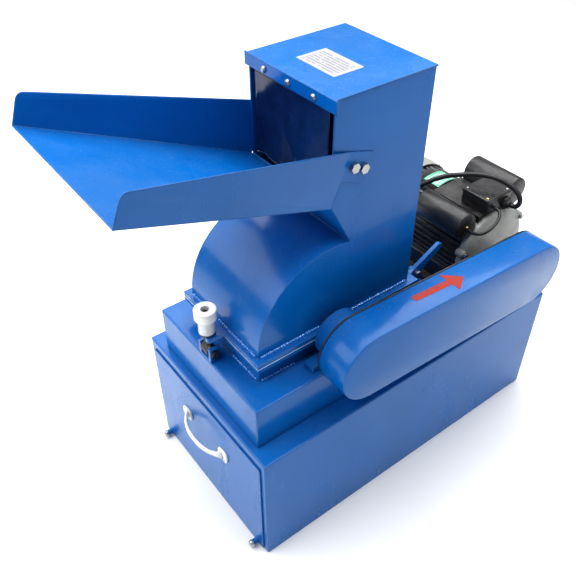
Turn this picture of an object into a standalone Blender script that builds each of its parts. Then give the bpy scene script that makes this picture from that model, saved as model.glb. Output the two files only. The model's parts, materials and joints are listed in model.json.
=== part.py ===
"""Small electric hammer mill: drawer cabinet, milling chamber, tilting feed tower, belt guard and motor.

Metres, +Z up. The origin is the middle of the cabinet's underside. -X is the drawer end, +X the motor
end and -Y the belt side.
"""

import math

import bmesh
import bpy
from mathutils import Matrix, Vector

GAP = 0.0003                    # clearance between pieces that touch
SHEET = 0.0025                  # sheet steel of the chamber and tower
THIN = 0.0015                   # sheet steel of the tray, drawer and screen

# Cabinet and drawer
CABINET_LENGTH = 0.640
CABINET_WIDTH = 0.340
CABINET_TOP = 0.240
CABINET_WALL = 0.002
CABINET_FRONT = -CABINET_LENGTH / 2
CABINET_SIDE = CABINET_WIDTH / 2
DRAWER_OPEN_SIDE = 0.154        # half width of the drawer opening
DRAWER_OPEN_LOW = 0.010
DRAWER_OPEN_HIGH = 0.218
DRAWER_LENGTH = 0.400
PANEL_SIDE = 0.159              # half width of the drawer's front panel
PANEL_LOW = 0.003
PANEL_HIGH = 0.221
PANEL_FACE = CABINET_FRONT - 0.0025
HANDLE_HEIGHT = 0.150
HANDLE_SPAN = 0.110
HANDLE_REACH = 0.026
CORNER_SCREW_SIDE = 0.143
CORNER_SCREW_HEIGHT = 0.0095

# Plinth, chamber and rotor
PLINTH_FRONT = -0.3075
PLINTH_BACK = 0.066
PLINTH_SIDE = 0.1362
PLINTH_TOP = 0.322
ROTOR_X = -0.138
ROTOR_Z = 0.361
SHAFT_RADIUS = 0.0125
SCREEN_RADIUS = 0.112           # inside face of the screen
DISC_RADIUS = 0.075
DISC_SIDE = 0.060
PIN_CIRCLE = 0.062
PIN_RADIUS = 0.005
HAMMER_TIP = 0.106
HAMMER_ROWS = (-0.036, -0.012, 0.012, 0.036)
CHAMBER_SIDE = 0.0905           # half width of the chamber, hood and tower
CHAMBER_FRONT = -0.270
TOWER_BACK = 0.024
FLANGE_FRONT = -0.279
FLANGE_BACK = 0.038
FLANGE_SIDE = 0.102
FLANGE_THICK = 0.008
PART_PLANE = 0.362              # where the lid's flange meets the chamber's flange
LID_FLANGE_TOP = PART_PLANE + GAP + FLANGE_THICK
HOOD_RADIUS = 0.134
HOOD_X = CHAMBER_FRONT + HOOD_RADIUS
HOOD_Z = 0.374

# Tower, curtain and tray
TOWER_FRONT = -0.145
MOUTH_LOW = 0.577
TOWER_TOP = 0.729
COVER_THICK = 0.002
LIP_DROP = 0.018
LIP_SCREWS = (-0.052, 0.0, 0.052)
CURTAIN_SIDE = 0.0793
CURTAIN_LOW = MOUTH_LOW + 0.008
CURTAIN_HIGH = TOWER_TOP - LIP_DROP - 0.001
TRAY_SLOPE = math.radians(21.9)
TRAY_LENGTH = 0.335
TRAY_SIDE_FRONT = 0.132
TRAY_WALL_BACK = 0.080
TRAY_WALL_FRONT = 0.042
EAR_LENGTH = 0.040
EAR_LOW = 0.038
TRAY_BOLTS = ((0.007, 0.060),
              (0.025, 0.060))   # along the ear from its root, and up from the tray's floor
TRAY_SIDE_BACK = CHAMBER_SIDE + GAP + THIN / 2

# Lid latch and hinge
LATCH_X = -0.299
LATCH_Z = 0.338
FORK_REACH = 0.008
SWING_BOLT_RADIUS = 0.006
WASHER_LOW = LID_FLANGE_TOP + 0.0012
KNOB_LOW = WASHER_LOW + 0.002 + GAP
HINGE_X = 0.052
HINGE_Z = LID_FLANGE_TOP - FLANGE_THICK
HINGE_PIN_RADIUS = 0.004

# Belt drive and guard
MOTOR_X = 0.232
MOTOR_Z = 0.339
BELT_Y = -0.166
ROTOR_PULLEY = 0.037
MOTOR_PULLEY = 0.050
BELT_DEPTH = 0.008
GUARD_RADIUS = 0.059
GUARD_FACE = -0.195
GUARD_BACK = -0.1395
GUARD_WALL = 0.002
GUARD_ROTOR = (-0.1395, 0.358)

# Motor
FRAME_RADIUS = 0.078
FRAME_NEAR = -0.080
FRAME_FAR = 0.088
FAN_COVER_END = 0.150
BASE_THICK = 0.009
PAD_TOP = MOTOR_Z + 0.079
BOX_NEAR = -0.089
BOX_FAR = -0.033
BOX_HALF = 0.031
BOX_TOP = 0.447
NEAR_CAPACITOR_ANGLE = math.radians(135)
REAR_CAPACITOR_ANGLE = math.radians(57)
GLAND = Vector((0.250, BOX_NEAR, 0.427))
GLAND_LENGTH = 0.012
CORD_RADIUS = 0.0042
LINK_RADIUS = 0.0028
COIL_CENTRE = Vector((0.170, 0.235, 0.0))
COIL_RADIUS = 0.046
COIL_LAYERS = 2
PLUG_LENGTH = 0.046
PLUG_AHEAD = 0.035                # from the coil's middle to the mouth of the plug
PLUG_Z = 0.0185

LID_PIECES = ("upper_housing", "tower_cover", "lip_screw_1", "lip_screw_2", "lip_screw_3", "feed_tray",
              "tray_bolt_near_1", "tray_bolt_near_2", "tray_bolt_far_1", "tray_bolt_far_2", "hinge_arm")
ROTOR_PIECES = ("rotor_shaft", "rotor_disc_near", "rotor_disc_far", "hammer_pin_1", "hammer_pin_2",
                "hammer_pin_3", "hammer_pin_4", "rotor_pulley")


# ---------------------------------------------------------------- materials

def finish(name, colour, roughness, metallic=0.0, coat=0.0):
    """A Principled material."""
    material = bpy.data.materials.new(name)
    material.use_nodes = True
    shader = material.node_tree.nodes["Principled BSDF"]
    shader.inputs["Base Color"].default_value = (*colour, 1.0)
    shader.inputs["Roughness"].default_value = roughness
    shader.inputs["Metallic"].default_value = metallic
    shader.inputs["Coat Weight"].default_value = coat
    return material


def own_copy(material, name):
    """Each sub-part carries a material of its own, named after it."""
    copy = material.copy()
    copy.name = name + "_finish"
    return copy


for thing in list(bpy.data.objects):
    bpy.data.objects.remove(thing, do_unlink=True)

BLUE = finish("blue_paint", (0.012, 0.080, 0.420), 0.22, 0.0, 0.6)
ZINC = finish("zinc_plate", (0.72, 0.72, 0.70), 0.32, 1.0)
WHITE = finish("white_cast", (0.80, 0.80, 0.80), 0.30, 0.2)
STEEL = finish("turned_steel", (0.46, 0.46, 0.46), 0.38, 1.0)
CAST = finish("cast_iron", (0.10, 0.10, 0.11), 0.55, 0.8)
MOTOR_BLACK = finish("motor_black", (0.012, 0.012, 0.014), 0.40, 0.0)
MOTOR_GREY = finish("motor_grey", (0.36, 0.37, 0.36), 0.42, 0.3)
PLASTIC = finish("black_plastic", (0.022, 0.022, 0.024), 0.45)
RUBBER = finish("black_rubber", (0.012, 0.013, 0.018), 0.35)


# ---------------------------------------------------------------- building blocks

def publish(name, mesh_data, material, smooth_angle=35):
    """Links a finished bmesh to the scene as one named object."""
    bmesh.ops.recalc_face_normals(mesh_data, faces=mesh_data.faces)
    mesh = bpy.data.meshes.new(name)
    mesh_data.to_mesh(mesh)
    mesh_data.free()
    mesh.shade_smooth()
    mesh.set_sharp_from_angle(angle=math.radians(smooth_angle))
    thing = bpy.data.objects.new(name, mesh)
    bpy.context.scene.collection.objects.link(thing)
    thing.data.materials.append(own_copy(material, name))
    return thing


def block(name, low, high, material):
    """A box between two corners."""
    data = bmesh.new()
    bmesh.ops.create_cube(data, size=1.0)
    low = Vector(low)
    high = Vector(high)
    centre = (low + high) / 2
    size = high - low
    for vert in data.verts:
        vert.co = Vector(a * b for a, b in zip(vert.co, size)) + centre
    return publish(name, data, material)


def plate(name, outline, start, end, material, along="Y"):
    """A flat outline extruded along an axis; the outline is (x, z) for Y, (y, z) for X and (x, y) for Z."""
    place = {
        "X": lambda a, b, depth: (depth, a, b),
        "Y": lambda a, b, depth: (a, depth, b),
        "Z": lambda a, b, depth: (a, b, depth),
    }[along]
    data = bmesh.new()
    near = [data.verts.new(place(a, b, start)) for a, b in outline]
    far = [data.verts.new(place(a, b, end)) for a, b in outline]
    data.faces.new(near)
    data.faces.new(list(reversed(far)))
    count = len(outline)
    for i in range(count):
        j = (i + 1) % count
        data.faces.new((near[i], far[i], far[j], near[j]))
    return publish(name, data, material)


def turned(name, rings, at, axis, material, sides=28, bored=False):
    """A stack of rings (radius, distance along the axis, optional "hex") around an axis through at.

    A bored piece's rings run up the outside and back down the inside of its hole.
    """
    turn = {
        "X": Matrix(((0, 0, 1), (1, 0, 0), (0, 1, 0))),
        "Y": Matrix(((1, 0, 0), (0, 0, 1), (0, 1, 0))),
        "Z": Matrix.Identity(3),
    }[axis]
    at = Vector(at)
    data = bmesh.new()
    loops = []
    for ring in rings:
        radius, depth = ring[0], ring[1]
        loop = []
        for i in range(sides):
            angle = 2 * math.pi * i / sides
            reach = radius
            if len(ring) > 2:
                corner = math.pi / 3
                off = (angle % corner) - corner / 2
                reach = radius / math.cos(off)
            local = Vector((reach * math.cos(angle), reach * math.sin(angle), depth))
            loop.append(data.verts.new(at + turn @ local))
        loops.append(loop)
    pairs = list(zip(loops, loops[1:]))
    if bored:
        pairs.append((loops[-1], loops[0]))
    else:
        data.faces.new(loops[0])
        data.faces.new(list(reversed(loops[-1])))
    for lower, upper in pairs:
        for i in range(sides):
            j = (i + 1) % sides
            data.faces.new((lower[i], lower[j], upper[j], upper[i]))
    return publish(name, data, material)


def hang(name, place, pieces):
    """Hangs moving pieces from an empty on their joint's axis, leaving them where they are."""
    pivot = bpy.data.objects.new(name, None)
    pivot.location = place
    bpy.context.scene.collection.objects.link(pivot)
    for piece in pieces:
        child = bpy.data.objects[piece]
        child.parent = pivot
        child.location = -Vector(place)


def combine(thing, tool, operation):
    """Boolean of a hidden tool object with a piece."""
    tool.hide_render = True
    tool.display_type = "WIRE"
    tool.hide_set(True)
    step = thing.modifiers.new(tool.name, "BOOLEAN")
    step.operation = operation
    step.object = tool
    step.solver = "EXACT"
    return thing


def cut(thing, tool):
    """Takes a tool's volume out of a piece."""
    return combine(thing, tool, "DIFFERENCE")


def weld(thing, tool):
    """Adds a tool's volume to a piece."""
    return combine(thing, tool, "UNION")


def round_edges(thing, width, segments=2, angle=50):
    """Rounds the sharp edges of a piece."""
    step = thing.modifiers.new("edges", "BEVEL")
    step.width = width
    step.segments = segments
    step.limit_method = "ANGLE"
    step.angle_limit = math.radians(angle)
    return thing


def arc(centre, radius, start, end, steps):
    """Points on an arc, angles in degrees."""
    points = []
    for i in range(steps + 1):
        angle = math.radians(start + (end - start) * i / steps)
        points.append((centre[0] + radius * math.cos(angle), centre[1] + radius * math.sin(angle)))
    return points


def rounded_rectangle(x0, x1, y0, y1, radius, steps=4):
    """A rectangular outline with rounded corners."""
    return (arc((x1 - radius, y1 - radius), radius, 0, 90, steps)
            + arc((x0 + radius, y1 - radius), radius, 90, 180, steps)
            + arc((x0 + radius, y0 + radius), radius, 180, 270, steps)
            + arc((x1 - radius, y0 + radius), radius, 270, 360, steps))


def stadium(inset, steps=14):
    """The belt guard's outline: two ends of one radius joined by tangents."""
    rotor = Vector(GUARD_ROTOR)
    motor = Vector((MOTOR_X, MOTOR_Z))
    slope = math.degrees(math.atan2(motor.y - rotor.y, motor.x - rotor.x))
    radius = GUARD_RADIUS - inset
    return (arc(motor, radius, slope - 90, slope + 90, steps)
            + arc(rotor, radius, slope + 90, slope + 270, steps))


def tube(name, route, radius, material, resolution=2):
    """A cord along a smooth curve through the route's points."""
    points = smooth_route(route)
    curve = bpy.data.curves.new(name, "CURVE")
    curve.dimensions = "3D"
    curve.bevel_depth = radius
    curve.bevel_resolution = resolution
    curve.use_fill_caps = True
    spline = curve.splines.new("POLY")
    spline.points.add(len(points) - 1)
    for slot, point in zip(spline.points, points):
        slot.co = (*point, 1.0)
    thing = bpy.data.objects.new(name, curve)
    bpy.context.scene.collection.objects.link(thing)
    curve.materials.append(own_copy(material, name))
    return thing


def smooth_route(route, per_leg=3):
    """Catmull-Rom points through a hand-chosen route."""
    points = [Vector(p) for p in route]
    ends = [2 * points[0] - points[1]] + points + [2 * points[-1] - points[-2]]
    smooth = []
    for i in range(1, len(ends) - 2):
        a, b, c, d = ends[i - 1:i + 3]
        for step in range(per_leg):
            t = step / per_leg
            smooth.append(0.5 * (2 * b + (c - a) * t + (2 * a - 5 * b + 4 * c - d) * t * t
                                 + (3 * b - a - 3 * c + d) * t ** 3))
    smooth.append(points[-1])
    return smooth


def hexagon_bolt(name, at, axis, grip, material=ZINC, head=0.0065, thread=0.004, nut=True):
    """A hexagon bolt whose head sits before the start of the grip, with its nut beyond the grip's end."""
    start, end = grip
    way = 1 if end > start else -1
    rings = [(head, start - way * 0.0055, "hex"), (head, start, "hex"), (thread, start)]
    if nut:
        rings += [(thread, end), (head, end, "hex"), (head, end + way * 0.0065, "hex"),
                  (thread, end + way * 0.0065), (thread, end + way * 0.0075)]
    else:
        rings += [(thread, end)]
    return turned(name, rings, at, axis, material, sides=12)


# ---------------------------------------------------------------- cabinet and drawer

def build_cabinet():
    """Folded sheet box with a drawer opening in front and a discharge opening on top."""
    cabinet = block("cabinet", (CABINET_FRONT, -CABINET_SIDE, 0),
                    (-CABINET_FRONT, CABINET_SIDE, CABINET_TOP), BLUE)
    round_edges(cabinet, 0.0025)
    wall = CABINET_WALL
    cut(cabinet, block("cabinet_hollow", (CABINET_FRONT + wall, -CABINET_SIDE + wall, wall),
                       (-CABINET_FRONT - wall, CABINET_SIDE - wall, CABINET_TOP - wall), BLUE))
    cut(cabinet, block("drawer_opening", (CABINET_FRONT - 0.01, -DRAWER_OPEN_SIDE, DRAWER_OPEN_LOW),
                       (CABINET_FRONT + 0.01, DRAWER_OPEN_SIDE, DRAWER_OPEN_HIGH), BLUE))
    cut(cabinet, block("discharge_opening", (ROTOR_X - 0.106, -0.087, CABINET_TOP - 0.01),
                       (ROTOR_X + 0.106, 0.087, CABINET_TOP + 0.01), BLUE))


def build_drawer():
    """Bin, front panel with two corner bosses, their screws, and the pull handle."""
    side = DRAWER_OPEN_SIDE - 0.003
    low = DRAWER_OPEN_LOW - 0.0015
    high = DRAWER_OPEN_HIGH - 0.006
    front = CABINET_FRONT + GAP
    drawer = block("drawer_bin", (front, -side, DRAWER_OPEN_LOW + 0.001),
                   (front + DRAWER_LENGTH, side, high), BLUE)
    cut(drawer, block("bin_hollow", (front + THIN, -side + THIN, low + 0.004),
                      (front + DRAWER_LENGTH - THIN, side - THIN, high + 0.02), BLUE))

    back = CABINET_FRONT - GAP
    panel = plate("drawer_front", rounded_rectangle(-PANEL_SIDE, PANEL_SIDE, PANEL_LOW, PANEL_HIGH, 0.003,
                                                    2),
                  PANEL_FACE, back, BLUE, "X")
    for side_name, way in (("left", 1), ("right", -1)):
        at = (0, way * CORNER_SCREW_SIDE, CORNER_SCREW_HEIGHT)
        boss_end = PANEL_FACE - 0.010
        weld(panel, turned("boss_" + side_name, [(0.0052, boss_end), (0.0052, back - 0.0004)], at, "X",
                           BLUE, 16))
        turned("corner_screw_" + side_name,
               [(0.0030, boss_end - 0.0062), (0.0056, boss_end - 0.0050), (0.0065, boss_end - 0.0030),
                (0.0065, boss_end - GAP)], at, "X", ZINC, 20)

    arched_handle()


def arched_handle():
    """A bow of flattened section between two splayed feet."""
    half = HANDLE_SPAN / 2
    face = PANEL_FACE - GAP
    steps = 14
    data = bmesh.new()
    loops = []
    for i in range(steps + 1):
        t = -1 + 2 * i / steps
        swell = 1 - abs(t) ** 2.6
        centre = Vector((face - 0.0035 - (HANDLE_REACH - 0.0075) * swell, half * t, HANDLE_HEIGHT))
        tangent = Vector((2.6 * (HANDLE_REACH - 0.0075) * abs(t) ** 1.6 * (1 if t > 0 else -1), half,
                          0)).normalized()
        outward = Vector((tangent.y, -tangent.x, 0))
        tall = 0.0048 + 0.0052 * abs(t) ** 8
        thick = 0.0032
        loop = []
        for k in range(8):
            angle = 2 * math.pi * (k + 0.5) / 8
            loop.append(data.verts.new(centre + outward * thick * math.cos(angle)
                                       + Vector((0, 0, tall * math.sin(angle)))))
        loops.append(loop)
    for lower, upper in zip(loops, loops[1:]):
        for k in range(8):
            m = (k + 1) % 8
            data.faces.new((lower[k], lower[m], upper[m], upper[k]))
    data.faces.new(loops[0])
    data.faces.new(list(reversed(loops[-1])))
    handle = publish("drawer_handle", data, WHITE)
    for way in (-1, 1):
        foot = plate("handle_foot" + ("_far" if way > 0 else "_near"),
                     rounded_rectangle(way * half - 0.013, way * half + 0.013, HANDLE_HEIGHT - 0.0115,
                                       HANDLE_HEIGHT + 0.0115, 0.007, 3),
                     face - 0.0030, face, WHITE, "X")
        weld(handle, foot)
    return handle


# ---------------------------------------------------------------- chamber, screen and rotor

def build_plinth():
    """Raised box that carries the chamber, open below and over the screen."""
    plinth = block("plinth", (PLINTH_FRONT, -PLINTH_SIDE, CABINET_TOP + GAP),
                   (PLINTH_BACK, PLINTH_SIDE, PLINTH_TOP), BLUE)
    round_edges(plinth, 0.0025)
    wall = SHEET
    cut(plinth, block("plinth_hollow", (PLINTH_FRONT + wall, -PLINTH_SIDE + wall, CABINET_TOP - 0.01),
                      (PLINTH_BACK - wall, PLINTH_SIDE - wall, PLINTH_TOP - wall), BLUE))
    cut(plinth, block("screen_opening", (ROTOR_X - 0.1075, -0.0875, PLINTH_TOP - 0.01),
                      (ROTOR_X + 0.1075, 0.0875, PLINTH_TOP + 0.01), BLUE))


def build_chamber():
    """Lower half of the mill chamber with its flange."""
    top = PART_PLANE
    chamber = block("lower_chamber", (CHAMBER_FRONT, -CHAMBER_SIDE, PLINTH_TOP + GAP),
                    (TOWER_BACK, CHAMBER_SIDE, top - 0.004), BLUE)
    weld(chamber, block("chamber_flange", (FLANGE_FRONT, -FLANGE_SIDE, top - FLANGE_THICK),
                        (FLANGE_BACK, FLANGE_SIDE, top), BLUE))
    cut(chamber, block("chamber_hollow", (CHAMBER_FRONT + SHEET, -CHAMBER_SIDE + SHEET,
                                          PLINTH_TOP - 0.01),
                       (TOWER_BACK - SHEET, CHAMBER_SIDE - SHEET, top + 0.01), BLUE))
    cut(chamber, shaft_slot("chamber_shaft_slot", ROTOR_Z - SHAFT_RADIUS - 0.0015, top + 0.01))


def shaft_slot(name, low, high):
    """A cutter for the square slots that let the shaft through both side walls and flanges."""
    half = SHAFT_RADIUS + 0.0015
    reach = FLANGE_SIDE + 0.02
    return block(name, (ROTOR_X - half, -reach, low), (ROTOR_X + half, reach, high), BLUE)


def build_screen():
    """Half-round perforated screen hung by two lips under the rotor."""
    half = 0.086
    edge = math.degrees(math.asin((ROTOR_Z - PLINTH_TOP - GAP) / SCREEN_RADIUS))
    outer = SCREEN_RADIUS + THIN
    level = PLINTH_TOP + GAP
    inside = arc((ROTOR_X, ROTOR_Z), SCREEN_RADIUS, 360 - edge, 180 + edge, 24)
    lip_reach = 0.012
    left = inside[-1][0]
    right = inside[0][0]
    outside = arc((ROTOR_X, ROTOR_Z), outer, 180 + edge, 360 - edge, 24)
    outline = ([(right + lip_reach, level + THIN), (right, level + THIN)] + inside[1:-1]
               + [(left, level + THIN), (left - lip_reach, level + THIN), (left - lip_reach, level)]
               + [(left - THIN * 0.4, level)] + outside[1:-1]
               + [(right + THIN * 0.4, level), (right + lip_reach, level)])
    screen = plate("screen", list(reversed(outline)), -half, half, STEEL)
    for row in range(5):
        angle = math.radians(215 + 27.5 * row)
        for column in range(5):
            across = -0.060 + 0.030 * column
            data = bmesh.new()
            way = Vector((math.cos(angle), 0, math.sin(angle)))
            bmesh.ops.create_cone(data, cap_ends=True, segments=8, radius1=0.004, radius2=0.004,
                                  depth=0.012)
            middle = Vector((ROTOR_X, across, ROTOR_Z)) + way * SCREEN_RADIUS
            place = Matrix.Translation(middle) @ way.to_track_quat("Z", "Y").to_matrix().to_4x4()
            bmesh.ops.transform(data, matrix=place, verts=data.verts)
            cut(screen, publish(f"screen_hole_{row}_{column}", data, STEEL))


def build_rotor():
    """Shaft, two discs, four hammer pins and a swinging hammer on each."""
    shaft_end = BELT_Y - 0.021
    turned("rotor_shaft", [(SHAFT_RADIUS - 0.001, shaft_end), (SHAFT_RADIUS, shaft_end + 0.001),
                           (SHAFT_RADIUS, -0.1), (SHAFT_RADIUS, 0.134), (SHAFT_RADIUS - 0.001, 0.135)],
           (ROTOR_X, 0, ROTOR_Z), "Y", STEEL, 32)
    for name, y0 in (("rotor_disc_near", -DISC_SIDE), ("rotor_disc_far", DISC_SIDE - 0.006)):
        disc = turned(name, [(DISC_RADIUS, y0), (DISC_RADIUS, y0 + 0.006),
                             (SHAFT_RADIUS + GAP, y0 + 0.006),
                             (SHAFT_RADIUS + GAP, y0)], (ROTOR_X, 0, ROTOR_Z), "Y", CAST, 32, bored=True)
        for i in range(4):
            x, z = pin_place(i)
            cut(disc, turned(f"{name}_hole_{i}", [(PIN_RADIUS + GAP, -0.1), (PIN_RADIUS + GAP, 0.1)],
                             (x, 0, z), "Y", CAST, 12))
    for i, y in enumerate(HAMMER_ROWS):
        x, z = pin_place(i)
        turned(f"hammer_pin_{i + 1}", [(PIN_RADIUS + 0.003, -DISC_SIDE - 0.0035),
                                       (PIN_RADIUS + 0.003, -DISC_SIDE - GAP),
                                       (PIN_RADIUS, -DISC_SIDE - GAP), (PIN_RADIUS, DISC_SIDE + 0.004)],
               (x, 0, z), "Y", STEEL, 12)
        build_hammer(i, y)


def pin_place(i):
    """Where the hammer pins stand around the shaft."""
    angle = math.radians(45 + 90 * i)
    return ROTOR_X + PIN_CIRCLE * math.cos(angle), ROTOR_Z + PIN_CIRCLE * math.sin(angle)


def build_hammer(i, y):
    """A flat swinging hammer hanging from its pin."""
    x, z = pin_place(i)
    reach = HAMMER_TIP - PIN_CIRCLE
    half = 0.011
    outline = arc((0, 0), half, 90, 270, 8) + [(reach - 0.001, -half), (reach, -half + 0.001),
                                               (reach, half - 0.001), (reach - 0.001, half)]
    placed = [(x + across, z - down) for down, across in outline]
    hammer = plate(f"hammer_{i + 1}", placed, y - 0.004, y + 0.004, STEEL)
    cut(hammer, turned(f"hammer_bore_{i}", [(PIN_RADIUS + GAP, y - 0.02), (PIN_RADIUS + GAP, y + 0.02)],
                       (x, 0, z), "Y", STEEL, 12))


def build_bearings():
    """Round bearing housings on feet, one on each side of the chamber."""
    for name, way in (("bearing_near", -1), ("bearing_far", 1)):
        inner, outer = way * 0.1055, way * 0.1265
        ring = turned(name, [(0.041, inner), (0.041, outer - way * 0.002), (0.039, outer),
                             (SHAFT_RADIUS + GAP, outer), (SHAFT_RADIUS + GAP, inner)],
                      (ROTOR_X, 0, ROTOR_Z), "Y", BLUE, 36, bored=True)
        low = PLINTH_TOP + GAP
        foot = block(name + "_foot", (ROTOR_X - 0.060, min(inner, outer) + 0.001, low),
                     (ROTOR_X + 0.060, max(inner, outer) - 0.001, low + 0.012), BLUE)
        weld(ring, foot)
        cut(ring, block(name + "_floor", (ROTOR_X - 0.1, -0.2, low - 0.05), (ROTOR_X + 0.1, 0.2, low),
                        BLUE))


# ---------------------------------------------------------------- lid: hood, tower, curtain and tray

def housing_outline(inset, bottom, top):
    """Side view of the hood and tower, moved inwards by inset."""
    front = TOWER_FRONT + inset
    radius = HOOD_RADIUS - inset
    slope_foot = Vector((-0.107, HOOD_Z + math.sqrt(HOOD_RADIUS ** 2 - (-0.107 - HOOD_X) ** 2)))
    slope_head = Vector((TOWER_FRONT, MOUTH_LOW))
    along = (slope_foot - slope_head).normalized()
    inward = Vector((-along.y, along.x))
    start = slope_head + inward * inset
    start += along * ((front - start.x) / along.x)
    centre = Vector((HOOD_X, HOOD_Z))
    to_centre = start - centre
    middle = to_centre.dot(along)
    reach = -middle - math.sqrt(middle ** 2 - to_centre.dot(to_centre) + radius ** 2)
    meet = start + along * reach
    meet_angle = math.degrees(math.atan2(meet.y - HOOD_Z, meet.x - HOOD_X))
    return ([(CHAMBER_FRONT + inset, bottom)] + arc(centre, radius, 180, meet_angle, 16)
            + [tuple(start), (front, top), (TOWER_BACK - inset, top), (TOWER_BACK - inset, bottom)])


def build_lid():
    """Flange, hood and feed tower welded into one shell that tilts back."""
    base = PART_PLANE + GAP
    top = TOWER_TOP - COVER_THICK - GAP
    lid = plate("upper_housing", housing_outline(0, base + 0.004, top), -CHAMBER_SIDE, CHAMBER_SIDE, BLUE)
    weld(lid, plate("lid_flange", lid_flange_outline(), base, LID_FLANGE_TOP, BLUE, "Z"))
    inside = CHAMBER_SIDE - SHEET
    cut(lid, plate("lid_hollow", housing_outline(SHEET, base - 0.02, top + 0.02), -inside, inside, BLUE))
    cut(lid, block("mouth", (TOWER_FRONT - 0.02, -inside, MOUTH_LOW),
                   (TOWER_FRONT + 0.006, inside, top + 0.02), BLUE))
    cut(lid, shaft_slot("lid_shaft_slot", base - 0.01, ROTOR_Z + SHAFT_RADIUS + 0.0015))
    for i in range(len(TRAY_BOLTS)):
        x, z = tray_bolt_place(i)
        cut(lid, turned(f"tower_bolt_hole_{i}", [(0.0044, -0.12), (0.0044, 0.12)], (x, 0, z), "Y", BLUE,
                        12))

    cover = block("tower_cover", (TOWER_FRONT - 0.0005, -CHAMBER_SIDE - 0.0015, TOWER_TOP - COVER_THICK),
                  (TOWER_BACK + 0.0015, CHAMBER_SIDE + 0.0015, TOWER_TOP), BLUE)
    lip = block("cover_lip", (TOWER_FRONT - 0.0025, -CHAMBER_SIDE - 0.006, TOWER_TOP - LIP_DROP),
                (TOWER_FRONT - 0.0004, CHAMBER_SIDE + 0.006, TOWER_TOP), BLUE)
    weld(cover, lip)
    screw_z = TOWER_TOP - 0.0105
    for i, y in enumerate(LIP_SCREWS):
        cut(cover, turned(f"lip_hole_{i}", [(0.0023, -0.2), (0.0023, -0.1)], (0, y, screw_z), "X", BLUE,
                          12))
        face = TOWER_FRONT - 0.0025 - GAP
        turned(f"lip_screw_{i + 1}", [(0.0026, face - 0.0028), (0.0046, face - 0.0016), (0.0050, face),
                                      (0.0020, face), (0.0020, face + 0.006)],
               (0, y, screw_z), "X", ZINC, 16)
    block("curtain", (TOWER_FRONT + 0.0005, -CURTAIN_SIDE, CURTAIN_LOW),
          (TOWER_FRONT + 0.0025, CURTAIN_SIDE, CURTAIN_HIGH), RUBBER)


def lid_flange_outline():
    """Flange plate with a slotted lug for the swing bolt."""
    slot = SWING_BOLT_RADIUS + 0.0006
    lug = 0.016
    tip = LATCH_X - FORK_REACH
    back_of_slot = arc((LATCH_X, 0), slot, -90, 90, 6)
    return ([(FLANGE_BACK, -FLANGE_SIDE), (FLANGE_BACK, FLANGE_SIDE), (FLANGE_FRONT, FLANGE_SIDE),
             (FLANGE_FRONT, lug), (tip + 0.003, lug), (tip, lug - 0.003), (tip, slot)]
            + list(reversed(back_of_slot))
            + [(tip, -slot), (tip, -lug + 0.003), (tip + 0.003, -lug), (FLANGE_FRONT, -lug),
               (FLANGE_FRONT, -FLANGE_SIDE)])


def tray_point(along, across, up):
    """A point given along the tray's floor from the tower, across it and square to it."""
    x = TOWER_FRONT - 0.0012 - along * math.cos(TRAY_SLOPE) + up * math.sin(TRAY_SLOPE)
    z = MOUTH_LOW + along * math.sin(TRAY_SLOPE) + up * math.cos(TRAY_SLOPE)
    return Vector((x, across, z))


def tray_bolt_place(i):
    """Where a tray bolt crosses the tower's side walls."""
    back, up = TRAY_BOLTS[i]
    point = tray_point(-back - 0.006, 0, up)
    return point.x, point.z


def build_tray():
    """Flared sheet trough with two side walls and ears that clasp the tower."""
    data = bmesh.new()
    walls = []
    for way in (-1, 1):
        side = way * TRAY_SIDE_BACK
        front = way * TRAY_SIDE_FRONT
        corner = arc((TRAY_LENGTH - 0.010, TRAY_WALL_FRONT - 0.010), 0.010, 90, 0, 4)
        floor_back = data.verts.new(tray_point(0, side, 0))
        floor_front = data.verts.new(tray_point(TRAY_LENGTH, front, 0))
        rim = []
        for along, up in corner:
            rim.append(data.verts.new(tray_point(along, front * (1 + 0.012 * up / TRAY_WALL_FRONT), up)))
        root_high = data.verts.new(tray_point(0, side, TRAY_WALL_BACK))
        root_low = data.verts.new(tray_point(0, side, EAR_LOW))
        ear_low = data.verts.new(tray_point(-EAR_LENGTH, side, EAR_LOW))
        ear_high = data.verts.new(tray_point(-EAR_LENGTH, side, TRAY_WALL_BACK + 0.003))
        data.faces.new([floor_back, floor_front] + list(reversed(rim)) + [root_high, root_low])
        data.faces.new((root_low, root_high, ear_high, ear_low))
        walls.append((floor_back, floor_front))
    data.faces.new((walls[0][0], walls[0][1], walls[1][1], walls[1][0]))
    tray = publish("feed_tray", data, BLUE)
    thicken = tray.modifiers.new("sheet", "SOLIDIFY")
    thicken.thickness = THIN
    thicken.offset = 0.0
    thicken.use_even_offset = True
    for i in range(len(TRAY_BOLTS)):
        x, z = tray_bolt_place(i)
        cut(tray, turned(f"ear_hole_{i}", [(0.0044, -0.12), (0.0044, 0.12)], (x, 0, z), "Y", BLUE, 12))
        for side_name, way in (("near", -1), ("far", 1)):
            outer = way * (TRAY_SIDE_BACK + THIN / 2 + GAP)
            inner = way * (CHAMBER_SIDE - SHEET - GAP)
            hexagon_bolt(f"tray_bolt_{side_name}_{i + 1}", (x, 0, z), "Y", (outer, inner))


# ---------------------------------------------------------------- latch and hinge

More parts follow.
